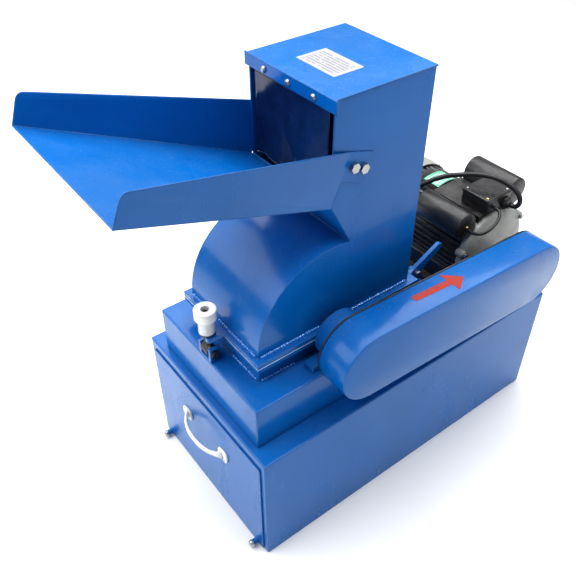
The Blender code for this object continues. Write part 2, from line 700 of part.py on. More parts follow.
def build_latch():
    """Swing bolt in a pair of ears, with a washer and a stepped knob."""
    ears = plate("latch_ears", [(-0.0165, PLINTH_TOP + GAP), (0.0165, PLINTH_TOP + GAP),
                                (0.0165, LATCH_Z + 0.010), (0.0105, LATCH_Z + 0.010),
                                (0.0105, PLINTH_TOP + 0.0035), (-0.0105, PLINTH_TOP + 0.0035),
                                (-0.0105, LATCH_Z + 0.010), (-0.0165, LATCH_Z + 0.010)],
                 LATCH_X - 0.0080, LATCH_X + 0.0090, BLUE, "X")
    hole = 0.0040 + GAP
    cut(ears, turned("ear_bore", [(hole, -0.03), (hole, 0.03)], (LATCH_X, 0, LATCH_Z), "Y", BLUE, 16))
    turned("latch_pin", [(0.0065, -0.0215, "hex"), (0.0065, -0.0165 - GAP, "hex"),
                         (0.0040, -0.0165 - GAP), (0.0040, 0.0200)],
           (LATCH_X, 0, LATCH_Z), "Y", CAST, 24)
    eye = turned("swing_bolt", [(0.0095, -0.0095), (0.0095, 0.0095), (hole, 0.0095), (hole, -0.0095)],
                 (LATCH_X, 0, LATCH_Z), "Y", ZINC, 24, bored=True)
    weld(eye, turned("swing_stem", [(SWING_BOLT_RADIUS, LATCH_Z + 0.007), (SWING_BOLT_RADIUS, 0.4095),
                                    (SWING_BOLT_RADIUS - 0.001, 0.4105)], (LATCH_X, 0, 0), "Z", ZINC, 20))
    bore = SWING_BOLT_RADIUS + 0.0004
    low = WASHER_LOW
    turned("clamp_washer", [(0.0125, low), (0.0125, low + 0.002), (bore, low + 0.002), (bore, low)],
           (LATCH_X, 0, 0), "Z", ZINC, 24, bored=True)
    foot = KNOB_LOW
    turned("clamp_knob", [(bore, foot), (0.0122, foot), (0.0130, foot + 0.0008), (0.0130, foot + 0.024),
                          (0.0168, foot + 0.0265), (0.0175, foot + 0.028), (0.0175, foot + 0.0425),
                          (0.0165, foot + 0.0435), (bore, foot + 0.0435)],
           (LATCH_X, 0, 0), "Z", WHITE, 36, bored=True)


def build_hinge():
    """Two leaves with knuckle plates on one pin; the lid's near knuckle runs out into a prop arm."""
    pin = (HINGE_X, HINGE_Z)
    leaf_front = FLANGE_BACK + GAP
    hole = HINGE_PIN_RADIUS + GAP
    base = block("hinge_base", (leaf_front, -0.076, PART_PLANE - FLANGE_THICK),
                 (HINGE_X - 0.0085, 0.076, PART_PLANE - 0.0005), BLUE)
    arm = block("hinge_arm", (leaf_front, -0.084, PART_PLANE + 0.0008),
                (HINGE_X - 0.0085, 0.084, LID_FLANGE_TOP), BLUE)
    for way, side_name in ((-1, "near"), (1, "far")):
        weld(base, plate("base_knuckle_" + side_name, [(leaf_front + 0.001, PART_PLANE - FLANGE_THICK)]
                         + arc(pin, 0.0075, -60, 100, 10)
                         + [(HINGE_X - 0.0078, PART_PLANE - 0.0006),
                            (leaf_front + 0.001, PART_PLANE - 0.0008)],
                         min(way * 0.0685, way * 0.0755), max(way * 0.0685, way * 0.0755), BLUE))
        knuckle = [(leaf_front + 0.001, LID_FLANGE_TOP - 0.006)] + arc(pin, 0.0078, -110, 80, 10)
        if way < 0:
            knuckle = [(leaf_front + 0.001, LID_FLANGE_TOP - 0.006)] + arc(pin, 0.0078, -110, -20, 6)
            knuckle += [(HINGE_X + 0.052, pin[1] + 0.030), (HINGE_X + 0.055, pin[1] + 0.038),
                        (HINGE_X + 0.048, pin[1] + 0.041), (HINGE_X - 0.002, pin[1] + 0.014)]
        knuckle += [(leaf_front + 0.001, LID_FLANGE_TOP - 0.0005)]
        weld(arm, plate("arm_knuckle_" + side_name, knuckle, min(way * 0.0765, way * 0.0835),
                        max(way * 0.0765, way * 0.0835), BLUE))
    for piece, tag in ((base, "base"), (arm, "arm")):
        cut(piece, turned(tag + "_pin_hole", [(hole, -0.1), (hole, 0.1)], (pin[0], 0, pin[1]), "Y", BLUE,
                          16))
    turned("hinge_pin", [(0.0070, -0.0895, "hex"), (0.0070, -0.0840, "hex"), (HINGE_PIN_RADIUS, -0.0840),
                         (HINGE_PIN_RADIUS, 0.0890)], (pin[0], 0, pin[1]), "Y", ZINC, 24)


# ---------------------------------------------------------------- belt drive

def build_drive():
    """Two V pulleys, one belt, the guard and its back plate."""
    for name, x, z, radius, bore in (("rotor_pulley", ROTOR_X, ROTOR_Z, ROTOR_PULLEY, SHAFT_RADIUS),
                                     ("motor_pulley", MOTOR_X, MOTOR_Z, MOTOR_PULLEY, 0.012)):
        bottom = radius - 0.012
        turned(name, [(radius, BELT_Y - 0.013), (radius, BELT_Y - 0.0085), (bottom, BELT_Y - 0.0045),
                      (bottom, BELT_Y + 0.0045), (radius, BELT_Y + 0.0085), (radius, BELT_Y + 0.013),
                      (bore + 0.010, BELT_Y + 0.013), (bore + 0.010, BELT_Y + 0.018), (bore + GAP,
                                                                                       BELT_Y + 0.018),
                      (bore + GAP, BELT_Y - 0.013)], (x, 0, z), "Y", CAST, 36, bored=True)
    build_belt()
    guard = plate("belt_guard", stadium(0), GUARD_FACE, GUARD_BACK, BLUE)
    round_edges(guard, 0.0015)
    cut(guard, plate("guard_hollow", stadium(GUARD_WALL), GUARD_FACE + GUARD_WALL, GUARD_BACK + 0.02,
                     BLUE))
    back = plate("guard_back_plate", stadium(0), GUARD_BACK + GAP, GUARD_BACK + 0.0025, MOTOR_BLACK)
    weld(back, block("back_plate_foot", (0.000, GUARD_BACK + GAP, CABINET_TOP + GAP),
                     (0.060, GUARD_BACK + 0.0025, 0.330), MOTOR_BLACK))
    for tag, x, z, hole in (("rotor", ROTOR_X, ROTOR_Z, 0.020), ("motor", MOTOR_X, MOTOR_Z, 0.028)):
        cut(back, turned("back_hole_" + tag, [(hole, -0.2), (hole, -0.1)], (x, 0, z), "Y", BLUE, 24))


def build_belt():
    """A V belt as one ring round both pulleys, clear of the grooves."""
    rotor = Vector((ROTOR_X, ROTOR_Z))
    motor = Vector((MOTOR_X, MOTOR_Z))
    span = motor - rotor
    slope = math.degrees(math.atan2(span.y, span.x))

    def loop(offset):
        small = ROTOR_PULLEY + offset
        large = MOTOR_PULLEY + offset
        wrap = math.degrees(math.asin((large - small) / span.length))
        return (arc(motor, large, slope - 90 - wrap, slope + 90 + wrap, 18)
                + arc(rotor, small, slope + 90 + wrap, slope + 270 - wrap, 18))

    data = bmesh.new()
    rings = []
    for offset, y in ((0.001, -0.0065), (0.001, 0.0065), (0.001 - BELT_DEPTH, 0.0040),
                      (0.001 - BELT_DEPTH, -0.0040)):
        rings.append([data.verts.new((x, BELT_Y + y, z)) for x, z in loop(offset)])
    count = len(rings[0])
    for a, b in zip(rings, rings[1:] + rings[:1]):
        for i in range(count):
            j = (i + 1) % count
            data.faces.new((a[i], a[j], b[j], b[i]))
    publish("v_belt", data, RUBBER)


# ---------------------------------------------------------------- motor

def build_motor():
    """Finned frame, end bell, fan cover, fan, rotor, base, terminal box and capacitors."""
    centre = (MOTOR_X, 0, MOTOR_Z)
    fins = 44
    outline = []
    for i in range(fins):
        for part, radius in ((0.0, FRAME_RADIUS), (0.30, FRAME_RADIUS), (0.42, FRAME_RADIUS - 0.007),
                             (0.88, FRAME_RADIUS - 0.007)):
            angle = 2 * math.pi * (i + part) / fins
            outline.append((MOTOR_X + radius * math.cos(angle), MOTOR_Z + radius * math.sin(angle)))
    frame = plate("motor_frame", outline, FRAME_NEAR, FRAME_FAR, MOTOR_BLACK)
    weld(frame, block("terminal_pad", (MOTOR_X - 0.040, FRAME_NEAR - 0.004, MOTOR_Z + 0.055),
                      (MOTOR_X + 0.0312, 0.022, PAD_TOP), MOTOR_GREY))
    foot_low = CABINET_TOP + BASE_THICK + 2 * GAP
    for way, tag in ((-1, "front"), (1, "back")):
        foot = [(MOTOR_X + way * 0.030, foot_low), (MOTOR_X + way * 0.075, foot_low),
                (MOTOR_X + way * 0.075, foot_low + 0.010), (MOTOR_X + way * 0.062, foot_low + 0.012),
                (MOTOR_X + way * 0.060, MOTOR_Z - 0.040), (MOTOR_X + way * 0.030, MOTOR_Z - 0.040)]
        weld(frame, plate("motor_foot_" + tag, foot, -0.065, 0.060, MOTOR_BLACK))
    bore = 0.058
    cut(frame, turned("frame_bore", [(bore, -0.2), (bore, FRAME_FAR - 0.008), (0.0122, FRAME_FAR - 0.008),
                                     (0.0122, 0.2)],
                      centre, "Y", MOTOR_BLACK, 32))

    near = FRAME_NEAR - GAP
    bell = turned("drive_end_bell", [(0.030, near - 0.036), (0.034, near - 0.033), (0.036, near - 0.022),
                                     (0.072, near - 0.016), (0.0775, near - 0.011), (0.0775, near),
                                     (0.0572, near), (0.0565, near + 0.004), (0.050, near + 0.004),
                                     (0.050, near - 0.010), (0.0122, near - 0.020),
                                     (0.0122, near - 0.036)],
                  centre, "Y", MOTOR_GREY, 40, bored=True)
    cut(bell, block("pad_relief", (MOTOR_X - 0.041, near - 0.004, MOTOR_Z + 0.054),
                    (MOTOR_X + 0.041, near + 0.01, PAD_TOP + 0.01), MOTOR_GREY))
    for i, lug_angle in enumerate((33, 165, 215, 325)):
        angle = math.radians(lug_angle)
        at = (MOTOR_X + 0.0785 * math.cos(angle), 0, MOTOR_Z + 0.0785 * math.sin(angle))
        weld(bell, turned(f"bell_lug_{i}", [(0.0062, near - 0.015), (0.0072, near - 0.013),
                                            (0.0072, near)], at, "Y", MOTOR_GREY, 14))
    far = FRAME_FAR + GAP
    cover = turned("fan_cover", [(0.0815, far + 0.0003), (0.0825, far + 0.020),
                                 (0.0815, FAN_COVER_END - 0.010), (0.0760, FAN_COVER_END - 0.002),
                                 (0.070, FAN_COVER_END), (0.014, FAN_COVER_END),
                                 (0.014, FAN_COVER_END - 0.0015), (0.069, FAN_COVER_END - 0.0015),
                                 (0.0745, FAN_COVER_END - 0.0035), (0.0797, FAN_COVER_END - 0.011),
                                 (0.0797, far + 0.0003)],
                   centre, "Y", MOTOR_GREY, 40, bored=True)
    for ring_radius, count in ((0.034, 6), (0.056, 10)):
        for i in range(count):
            angle = 2 * math.pi * i / count
            at = (MOTOR_X + ring_radius * math.cos(angle), 0, MOTOR_Z + ring_radius * math.sin(angle))
            through = [(0.0072, FAN_COVER_END - 0.006), (0.0072, FAN_COVER_END + 0.006)]
            cut(cover, turned(f"air_hole_{count}_{i}", through, at, "Y", MOTOR_GREY, 8))
    turned("motor_rotor", [(0.0115, BELT_Y - 0.016), (0.0117, BELT_Y - 0.015), (0.0117, -0.060),
                           (0.052, -0.060), (0.052, 0.068), (0.0117, 0.068), (0.0117, far + 0.014),
                           (0.009, far + 0.014), (0.009, far + 0.040)],
           centre, "Y", STEEL, 32)
    build_fan(far + 0.018)
    base = block("motor_base", (MOTOR_X - 0.085, -0.075, CABINET_TOP + GAP),
                 (MOTOR_X + 0.083, 0.070, CABINET_TOP + GAP + BASE_THICK), BLUE)
    round_edges(base, 0.001)
    build_terminal_box()
    capacitor("start_capacitor", NEAR_CAPACITOR_ANGLE, -0.088, 0.012, 0.024)
    capacitor("run_capacitor", REAR_CAPACITOR_ANGLE, -0.081, 0.020, 0.025)


def build_fan(start):
    """A hub with eight straight blades inside the fan cover."""
    hub = turned("cooling_fan", [(0.022, start), (0.022, start + 0.018), (0.0093, start + 0.018),
                                 (0.0093, start)],
                 (MOTOR_X, 0, MOTOR_Z), "Y", PLASTIC, 24, bored=True)
    for i in range(8):
        angle = 2 * math.pi * i / 8
        way = Vector((math.cos(angle), math.sin(angle)))
        side = Vector((-way.y, way.x)) * 0.0015
        centre = Vector((MOTOR_X, MOTOR_Z))
        outline = [tuple(centre + way * 0.020 - side), tuple(centre + way * 0.066 - side),
                   tuple(centre + way * 0.066 + side), tuple(centre + way * 0.020 + side)]
        weld(hub, plate(f"fan_blade_{i}", outline, start + 0.001, start + 0.017, PLASTIC))


def build_terminal_box():
    """Terminal box on the pad, with its lid and cable gland."""
    low = PAD_TOP + GAP
    box = block("terminal_box", (MOTOR_X - BOX_HALF, BOX_NEAR, low),
                (MOTOR_X + BOX_HALF, BOX_FAR, BOX_TOP), PLASTIC)
    round_edges(box, 0.003, 2)
    face = BOX_NEAR - GAP
    turned("cable_gland", [(0.0098, face, "hex"), (0.0098, face - 0.005, "hex"), (0.0080, face - 0.0055),
                           (0.0080, face - 0.009), (0.0062, face - GLAND_LENGTH)],
           (GLAND.x, 0, GLAND.z), "Y", PLASTIC, 24)


def capacitor(name, angle, near, far, radius):
    """A round capacitor cover on a narrow foot that stands on the frame."""
    out = Vector((math.cos(angle), math.sin(angle)))
    side = Vector((-out.y, out.x))
    root = Vector((MOTOR_X, MOTOR_Z)) + out * (FRAME_RADIUS + GAP)
    foot = 0.012
    shape = [(foot, 0.0)] + arc((0, radius + 0.003), radius, -45, 225, 18) + [(-foot, 0.0)]
    outline = [tuple(root + side * a + out * b) for a, b in shape]
    round_edges(plate(name, outline, near, far, PLASTIC), 0.003, 2, 60)


# ---------------------------------------------------------------- cords

LINK_ROUTE = (
    (0.1620, -0.0884, 0.4060),
    (0.1620, -0.0990, 0.4060),
    (0.1660, -0.1110, 0.4090),
    (0.1780, -0.1170, 0.4140),
    (0.1930, -0.1170, 0.4195),
    (0.2070, -0.1130, 0.4250),
    (0.2160, -0.1050, 0.4290),
    (0.2180, -0.0970, 0.4300),
    (0.2180, -0.0894, 0.4300),
)

GLAND_MOUTH = Vector((GLAND.x, BOX_NEAR - GLAND_LENGTH - 2 * GAP, GLAND.z))
CORD_ROUTE = (
    tuple(GLAND_MOUTH),
    (0.2503, -0.1065, 0.4273),
    (0.2508, -0.1115, 0.4296),
    (0.2515, -0.1148, 0.4348),
    (0.2520, -0.1155, 0.4420),
    (0.2520, -0.1125, 0.4492),
    (0.2510, -0.1062, 0.4558),
    (0.2488, -0.0973, 0.4614),
    (0.2452, -0.0862, 0.4658),
    (0.2400, -0.0735, 0.4688),
    (0.2325, -0.0592, 0.4702),
    (0.2220, -0.0425, 0.4695),
    (0.2055, -0.0235, 0.4660),
    (0.1860, -0.0030, 0.4600),
    (0.1620, 0.0180, 0.4450),
    (0.1400, 0.0400, 0.4200),
    (0.1240, 0.0660, 0.3860),
    (0.1180, 0.0950, 0.3420),
    (0.1180, 0.1250, 0.2980),
    (0.1200, 0.1520, 0.2640),
    (0.1180, 0.1760, 0.2380),
    (0.1120, 0.1890, 0.1980),
    (0.1040, 0.1920, 0.1500),
    (0.0940, 0.1905, 0.1000),
    (0.0840, 0.1910, 0.0600),
    (0.0760, 0.1990, 0.0290),
    (0.0740, 0.2130, 0.0120),
    (0.0810, 0.2265, 0.0055),
    (0.0940, 0.2335, 0.0046),
    (0.1060, 0.2350, 0.0046),
    (0.1152, 0.2350, 0.0046),
)


def build_cords():
    """Link lead between capacitor and box, and the mains lead with its coil and plug."""
    tube("capacitor_lead", LINK_ROUTE, LINK_RADIUS, RUBBER)
    tube("mains_cord", CORD_ROUTE, CORD_RADIUS, RUBBER)
    thick = COIL_LAYERS * 2 * CORD_RADIUS + 0.0002
    outer = COIL_RADIUS + 2 * CORD_RADIUS
    inner = COIL_RADIUS - 2 * CORD_RADIUS
    turned("cord_coil", [(outer, 0.0002), (outer, thick), (inner, thick), (inner, 0.0002)],
           COIL_CENTRE, "Z", RUBBER, 40, bored=True)
    start = COIL_CENTRE.x + PLUG_AHEAD
    middle = COIL_CENTRE.y + COIL_RADIUS + CORD_RADIUS
    plug = turned("mains_plug", [(0.0050, start), (0.0075, start + 0.014), (0.0130, start + 0.020),
                                 (0.0165, start + 0.026), (0.0180, start + PLUG_LENGTH)],
                  (0, middle, PLUG_Z), "X", PLASTIC, 24)
    for tag, y in (("left", middle - 0.0080), ("right", middle + 0.0080)):
        low = (start + PLUG_LENGTH - 0.002, y - 0.0030, PLUG_Z - 0.0008)
        high = (start + PLUG_LENGTH + 0.018, y + 0.0030, PLUG_Z + 0.0008)
        weld(plug, block("plug_blade_" + tag, low, high, STEEL))


build_cabinet()
build_drawer()
build_plinth()
build_chamber()
build_screen()
build_rotor()
build_bearings()
build_lid()
build_tray()
build_latch()
build_hinge()
build_drive()
build_motor()
build_cords()

for name, place, pieces in (
        ("drawer_slide", (CABINET_FRONT, 0, HANDLE_HEIGHT),
         ("drawer_bin", "drawer_front", "drawer_handle", "corner_screw_left", "corner_screw_right")),
        ("lid_hinge", (HINGE_X, 0, HINGE_Z), LID_PIECES),
        ("curtain_swing", (TOWER_FRONT + 0.0015, 0, CURTAIN_HIGH), ("curtain",)),
        ("latch_swing", (LATCH_X, 0, LATCH_Z), ("swing_bolt",)),
        ("knob_turn", (LATCH_X, 0, KNOB_LOW), ("clamp_washer", "clamp_knob")),
        ("rotor_spin", (ROTOR_X, 0, ROTOR_Z), ROTOR_PIECES),
        ("motor_spin", (MOTOR_X, 0, MOTOR_Z), ("motor_rotor", "motor_pulley", "cooling_fan"))):
    hang(name, place, pieces)
for number in range(len(HAMMER_ROWS)):
    pin_x, pin_z = pin_place(number)
    hang(f"hammer_swing_{number + 1}", (pin_x, 0, pin_z), (f"hammer_{number + 1}",))
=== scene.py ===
"""Looks of the hammer mill: gloss blue sheet steel, black motor, zinc hardware, rubber cable and flap."""
import json
import math
import random

import bmesh
import bpy
from mathutils import Matrix, Vector, noise

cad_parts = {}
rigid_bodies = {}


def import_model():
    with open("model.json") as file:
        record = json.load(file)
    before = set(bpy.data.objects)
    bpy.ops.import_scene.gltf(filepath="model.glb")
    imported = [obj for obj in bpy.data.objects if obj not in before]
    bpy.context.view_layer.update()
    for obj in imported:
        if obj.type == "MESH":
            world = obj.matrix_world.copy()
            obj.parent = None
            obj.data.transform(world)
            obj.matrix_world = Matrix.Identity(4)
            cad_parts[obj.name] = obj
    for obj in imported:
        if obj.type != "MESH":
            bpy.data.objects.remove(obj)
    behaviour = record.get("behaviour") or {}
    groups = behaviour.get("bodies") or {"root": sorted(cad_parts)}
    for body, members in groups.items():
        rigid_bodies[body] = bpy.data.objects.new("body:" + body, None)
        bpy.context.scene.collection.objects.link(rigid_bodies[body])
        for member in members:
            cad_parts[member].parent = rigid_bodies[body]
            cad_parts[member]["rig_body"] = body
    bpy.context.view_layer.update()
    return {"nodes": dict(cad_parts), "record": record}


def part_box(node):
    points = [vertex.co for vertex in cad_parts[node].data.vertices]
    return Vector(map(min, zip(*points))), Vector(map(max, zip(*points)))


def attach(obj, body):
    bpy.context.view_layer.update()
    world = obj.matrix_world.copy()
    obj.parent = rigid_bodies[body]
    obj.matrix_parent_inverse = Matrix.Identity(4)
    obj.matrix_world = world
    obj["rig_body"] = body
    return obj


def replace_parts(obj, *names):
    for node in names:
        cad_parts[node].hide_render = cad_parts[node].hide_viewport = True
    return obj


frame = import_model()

NODES = frame["nodes"]
JOINTS = {joint["name"]: joint for joint in frame["record"]["behaviour"]["joints"]}
MOTOR_X, _, MOTOR_Z = JOINTS["motor_spin"]["pos_m"]
SHAFT_X = JOINTS["rotor_spin"]["pos_m"][0]
SCENE = bpy.context.scene

# ---------------------------------------------------------------- camera

CAMERA_PLACE = Vector((-0.6481, -0.6681, 1.0941))
CAMERA_WAY = Vector((0.4575, 0.6017, -0.6547))
LENS = 43.6
SHIFT = (-0.0078, 0.0062)

camera_data = bpy.data.cameras.new("camera")
camera_data.lens = LENS
camera_data.sensor_width = 36.0
camera_data.shift_x, camera_data.shift_y = SHIFT
camera_data.clip_start = 0.05
camera = bpy.data.objects.new("camera", camera_data)
camera.location = CAMERA_PLACE
camera.rotation_euler = CAMERA_WAY.to_track_quat("-Z", "Y").to_euler()
SCENE.collection.objects.link(camera)
SCENE.camera = camera
SCENE.view_settings.view_transform = "Standard"
SCENE.view_settings.look = "Medium High Contrast"


# ---------------------------------------------------------------- material tools

def material(name, roughness, metallic=0.0, coat=0.0, coat_roughness=0.08, specular=0.5):
    """A Principled material whose uniform numbers sit on the shader itself."""
    made = bpy.data.materials.new(name)
    made.use_nodes = True
    shader = made.node_tree.nodes["Principled BSDF"]
    shader.inputs["Roughness"].default_value = roughness
    shader.inputs["Metallic"].default_value = metallic
    shader.inputs["Coat Weight"].default_value = coat
    shader.inputs["Coat Roughness"].default_value = coat_roughness
    shader.inputs["Specular IOR Level"].default_value = specular
    return made, made.node_tree, shader


def node(tree, kind, values=(), **settings):
    """A node with its settings and input values."""
    made = tree.nodes.new(kind)
    for key, value in settings.items():
        setattr(made, key, value)
    for key, value in values:
        made.inputs[key].default_value = value
    return made


def grain(tree, scale, detail=4.0, rough=0.5, stretch=None, distortion=0.0):
    """Noise in the piece's own coordinates."""
    place = node(tree, "ShaderNodeTexCoord")
    source = place.outputs["Object"]
    if stretch:
        mapping = node(tree, "ShaderNodeMapping", [("Scale", stretch)])
        tree.links.new(source, mapping.inputs["Vector"])
        source = mapping.outputs["Vector"]
    made = node(tree, "ShaderNodeTexNoise", [("Scale", scale), ("Detail", detail), ("Roughness", rough),
                                             ("Distortion", distortion)])
    tree.links.new(source, made.inputs["Vector"])
    return made.outputs["Fac"]


def steps(tree, source, stops):
    """A ramp from a factor to grey values or colours."""
    made = node(tree, "ShaderNodeValToRGB")
    ramp = made.color_ramp
    while len(ramp.elements) < len(stops):
        ramp.elements.new(0.5)
    for element, (at, value) in zip(ramp.elements, stops):
        element.position = at
        element.color = (*value, 1.0) if hasattr(value, "__len__") else (value, value, value, 1.0)
    tree.links.new(source, made.inputs["Fac"])
    return made.outputs["Color"]


def math_node(tree, operation, a, b=None, clamp=False):
    """One sum on values or sockets."""
    made = node(tree, "ShaderNodeMath", operation=operation, use_clamp=clamp)
    for slot, value in enumerate((a, b)):
        if value is None:
            continue
        if isinstance(value, (int, float)):
            made.inputs[slot].default_value = value
        else:
            tree.links.new(value, made.inputs[slot])
    return made.outputs[0]


def blend_colours(tree, factor, first, second):
    """Mixes two colours, each a socket or a value, by a factor socket."""
    made = node(tree, "ShaderNodeMix", data_type="RGBA")
    tree.links.new(factor, made.inputs[0])
    for slot, value in ((6, first), (7, second)):
        if hasattr(value, "__len__"):
            made.inputs[slot].default_value = (*value, 1.0)
        else:
            tree.links.new(value, made.inputs[slot])
    return made.outputs[2]


def edge_mask(tree, radius):
    """How close a point is to a folded or cut edge, and the rounded normal there."""
    rounded = node(tree, "ShaderNodeBevel", [("Radius", radius)], samples=6)
    shape = node(tree, "ShaderNodeNewGeometry")
    dot = node(tree, "ShaderNodeVectorMath", operation="DOT_PRODUCT")
    tree.links.new(rounded.outputs["Normal"], dot.inputs[0])
    tree.links.new(shape.outputs["Normal"], dot.inputs[1])
    near = math_node(tree, "SUBTRACT", 1.0, dot.outputs["Value"], clamp=True)
    return math_node(tree, "MULTIPLY", near, 4.0, clamp=True), rounded.outputs["Normal"]


def upward(tree):
    """How far a surface faces up."""
    shape = node(tree, "ShaderNodeNewGeometry")
    split = node(tree, "ShaderNodeSeparateXYZ")
    tree.links.new(shape.outputs["Normal"], split.inputs[0])
    return math_node(tree, "MAXIMUM", split.outputs["Z"], 0.0)


def bumps(tree, shader, layers, normal):
    """Chains bump layers, each (height socket, strength, distance), into the shader's normal."""
    for height, strength, distance in layers:
        made = node(tree, "ShaderNodeBump", [("Strength", strength), ("Distance", distance)])
        tree.links.new(height, made.inputs["Height"])
        tree.links.new(normal, made.inputs["Normal"])
        normal = made.outputs["Normal"]
    tree.links.new(normal, shader.inputs["Normal"])


def scaled(colour, factor):
    """A colour made lighter or darker."""
    return tuple(min(1.0, c * factor) for c in colour)


def gloss_paint(name, colour, rough=0.20, coat=0.10, edge=0.0024, peel=0.05, wavy=0.12, dust=0.10, edge_wear_and_highlight=0.5,
                specular=0.28):
    """Sprayed enamel on sheet: orange peel, slightly wavy panels, fine dust on top, and paler edges that are
    partly rubbed paint and partly a painted highlight along the folds.
    """
    made, tree, shader = material(name, rough, coat=coat, coat_roughness=0.05, specular=specular)
    cloud = grain(tree, 7.0, 5.0, 0.6)
    body = steps(tree, cloud, [(0.30, scaled(colour, 0.90)), (0.72, scaled(colour, 1.08))])
    near_edge, rounded = edge_mask(tree, edge)
    patches = steps(tree, grain(tree, 60.0, 6.0, 0.7), [(0.42, 0.0), (0.62, 1.0)])
    # paler colour along edges: partly rubbed paint, partly a painted highlight on the folded edges
    rubbed_and_highlit = math_node(tree, "MULTIPLY", math_node(tree, "MULTIPLY", near_edge, patches), edge_wear_and_highlight)
    pale_wear_and_highlight = tuple(0.55 * c + 0.18 for c in colour)
    with_edges = blend_colours(tree, rubbed_and_highlit, body, pale_wear_and_highlight)
    specks = steps(tree, grain(tree, 260.0, 3.0, 0.8), [(0.60, 0.0), (0.74, 1.0)])
    film = steps(tree, grain(tree, 9.0, 6.0, 0.7), [(0.35, 0.0), (0.80, 0.55)])
    fallen = math_node(tree, "MULTIPLY", upward(tree), math_node(tree, "ADD", specks, film, clamp=True))
    dusty = math_node(tree, "MULTIPLY", fallen, dust)
    tree.links.new(blend_colours(tree, dusty, with_edges, (0.52, 0.54, 0.55)), shader.inputs["Base Color"])
    smear = steps(tree, grain(tree, 14.0, 6.0, 0.65, stretch=(1.0, 1.0, 0.35), distortion=0.6),
                  [(0.35, rough * 0.75), (0.75, rough * 1.7)])
    tree.links.new(math_node(tree, "ADD", smear, math_node(tree, "MULTIPLY", dusty, 1.2), clamp=True),
                   shader.inputs["Roughness"])
    panel_waves = (grain(tree, 5.5, 1.5, 0.4), wavy, 0.010)
    orange_peel = (grain(tree, 420.0, 2.0, 0.5), peel, 0.0005)
    bumps(tree, shader, [panel_waves, orange_peel], rounded)
    return made


def rough_paint(name, colour, rough=0.42, texture=700.0, dust=0.22, coat=0.0, depth=0.0004):
    """Paint over a cast or pressed surface, with fine texture and dust."""
    made, tree, shader = material(name, rough, coat=coat)
    body = steps(tree, grain(tree, 22.0, 5.0, 0.6),
                 [(0.30, scaled(colour, 0.75)), (0.75, scaled(colour, 1.30))])
    near_edge, rounded = edge_mask(tree, 0.0010)
    patches = steps(tree, grain(tree, 90.0, 5.0, 0.7), [(0.45, 0.0), (0.65, 0.6)])
    broken = math_node(tree, "MULTIPLY", near_edge, patches)
    worn = blend_colours(tree, broken, body, tuple(0.5 * c + 0.16 for c in colour))
    film = steps(tree, grain(tree, 35.0, 7.0, 0.75), [(0.40, 0.0), (0.80, 1.0)])
    fallen = math_node(tree, "MULTIPLY", upward(tree), film)
    dusty = math_node(tree, "MULTIPLY", fallen, dust)
    tree.links.new(blend_colours(tree, dusty, worn, (0.42, 0.42, 0.40)), shader.inputs["Base Color"])
    shine = steps(tree, grain(tree, 60.0, 5.0, 0.6), [(0.30, rough * 0.8), (0.75, min(1.0, rough * 1.4))])
    tree.links.new(shine, shader.inputs["Roughness"])
    bumps(tree, shader, [(grain(tree, texture, 3.0, 0.6), 0.25, depth)], rounded)
    return made


def metal(name, colour, rough=0.30, brush=None, stain=(0.30, 0.26, 0.20), stained=0.18):
    """Bare or plated metal with machining marks, faint stains and uneven shine."""
    made, tree, shader = material(name, rough, metallic=1.0)
    body = steps(tree, grain(tree, 120.0, 5.0, 0.6),
                 [(0.30, scaled(colour, 0.82)), (0.72, scaled(colour, 1.06))])
    marks = steps(tree, grain(tree, 40.0, 7.0, 0.75), [(0.50, 0.0), (0.80, 1.0)])
    spots = math_node(tree, "MULTIPLY", marks, stained)
    tree.links.new(blend_colours(tree, spots, body, stain), shader.inputs["Base Color"])
    shine = steps(tree, grain(tree, 180.0, 5.0, 0.7), [(0.30, rough * 0.7), (0.75, min(1.0, rough * 1.6))])
    tree.links.new(shine, shader.inputs["Roughness"])
    rounded = edge_mask(tree, 0.0005)[1]
    bumps(tree, shader, [(grain(tree, 500.0, 3.0, 0.6, stretch=brush), 0.12, 0.0003)], rounded)
    return made


def rubbery(name, colour, rough=0.48, scale=600.0, dust=0.15):
    """Rubber or moulded plastic with a fine skin and some dust."""
    made, tree, shader = material(name, rough)
    body = steps(tree, grain(tree, 45.0, 5.0, 0.6),
                 [(0.30, scaled(colour, 0.7)), (0.75, scaled(colour, 1.4))])
    film = steps(tree, grain(tree, 130.0, 7.0, 0.8), [(0.50, 0.0), (0.80, 1.0)])
    dusty = math_node(tree, "MULTIPLY", math_node(tree, "MULTIPLY", upward(tree), film), dust)
    tree.links.new(blend_colours(tree, dusty, body, (0.40, 0.40, 0.38)), shader.inputs["Base Color"])
    shine = steps(tree, grain(tree, 80.0, 5.0, 0.6), [(0.30, rough * 0.75), (0.75, min(1.0, rough * 1.35))])
    tree.links.new(shine, shader.inputs["Roughness"])
    rounded = edge_mask(tree, 0.0008)[1]
    bumps(tree, shader, [(grain(tree, scale, 3.0, 0.6), 0.18, 0.0003)], rounded)
    return made


DASHES_PER_METRE = 420.0
DASH_SHARE = 0.85


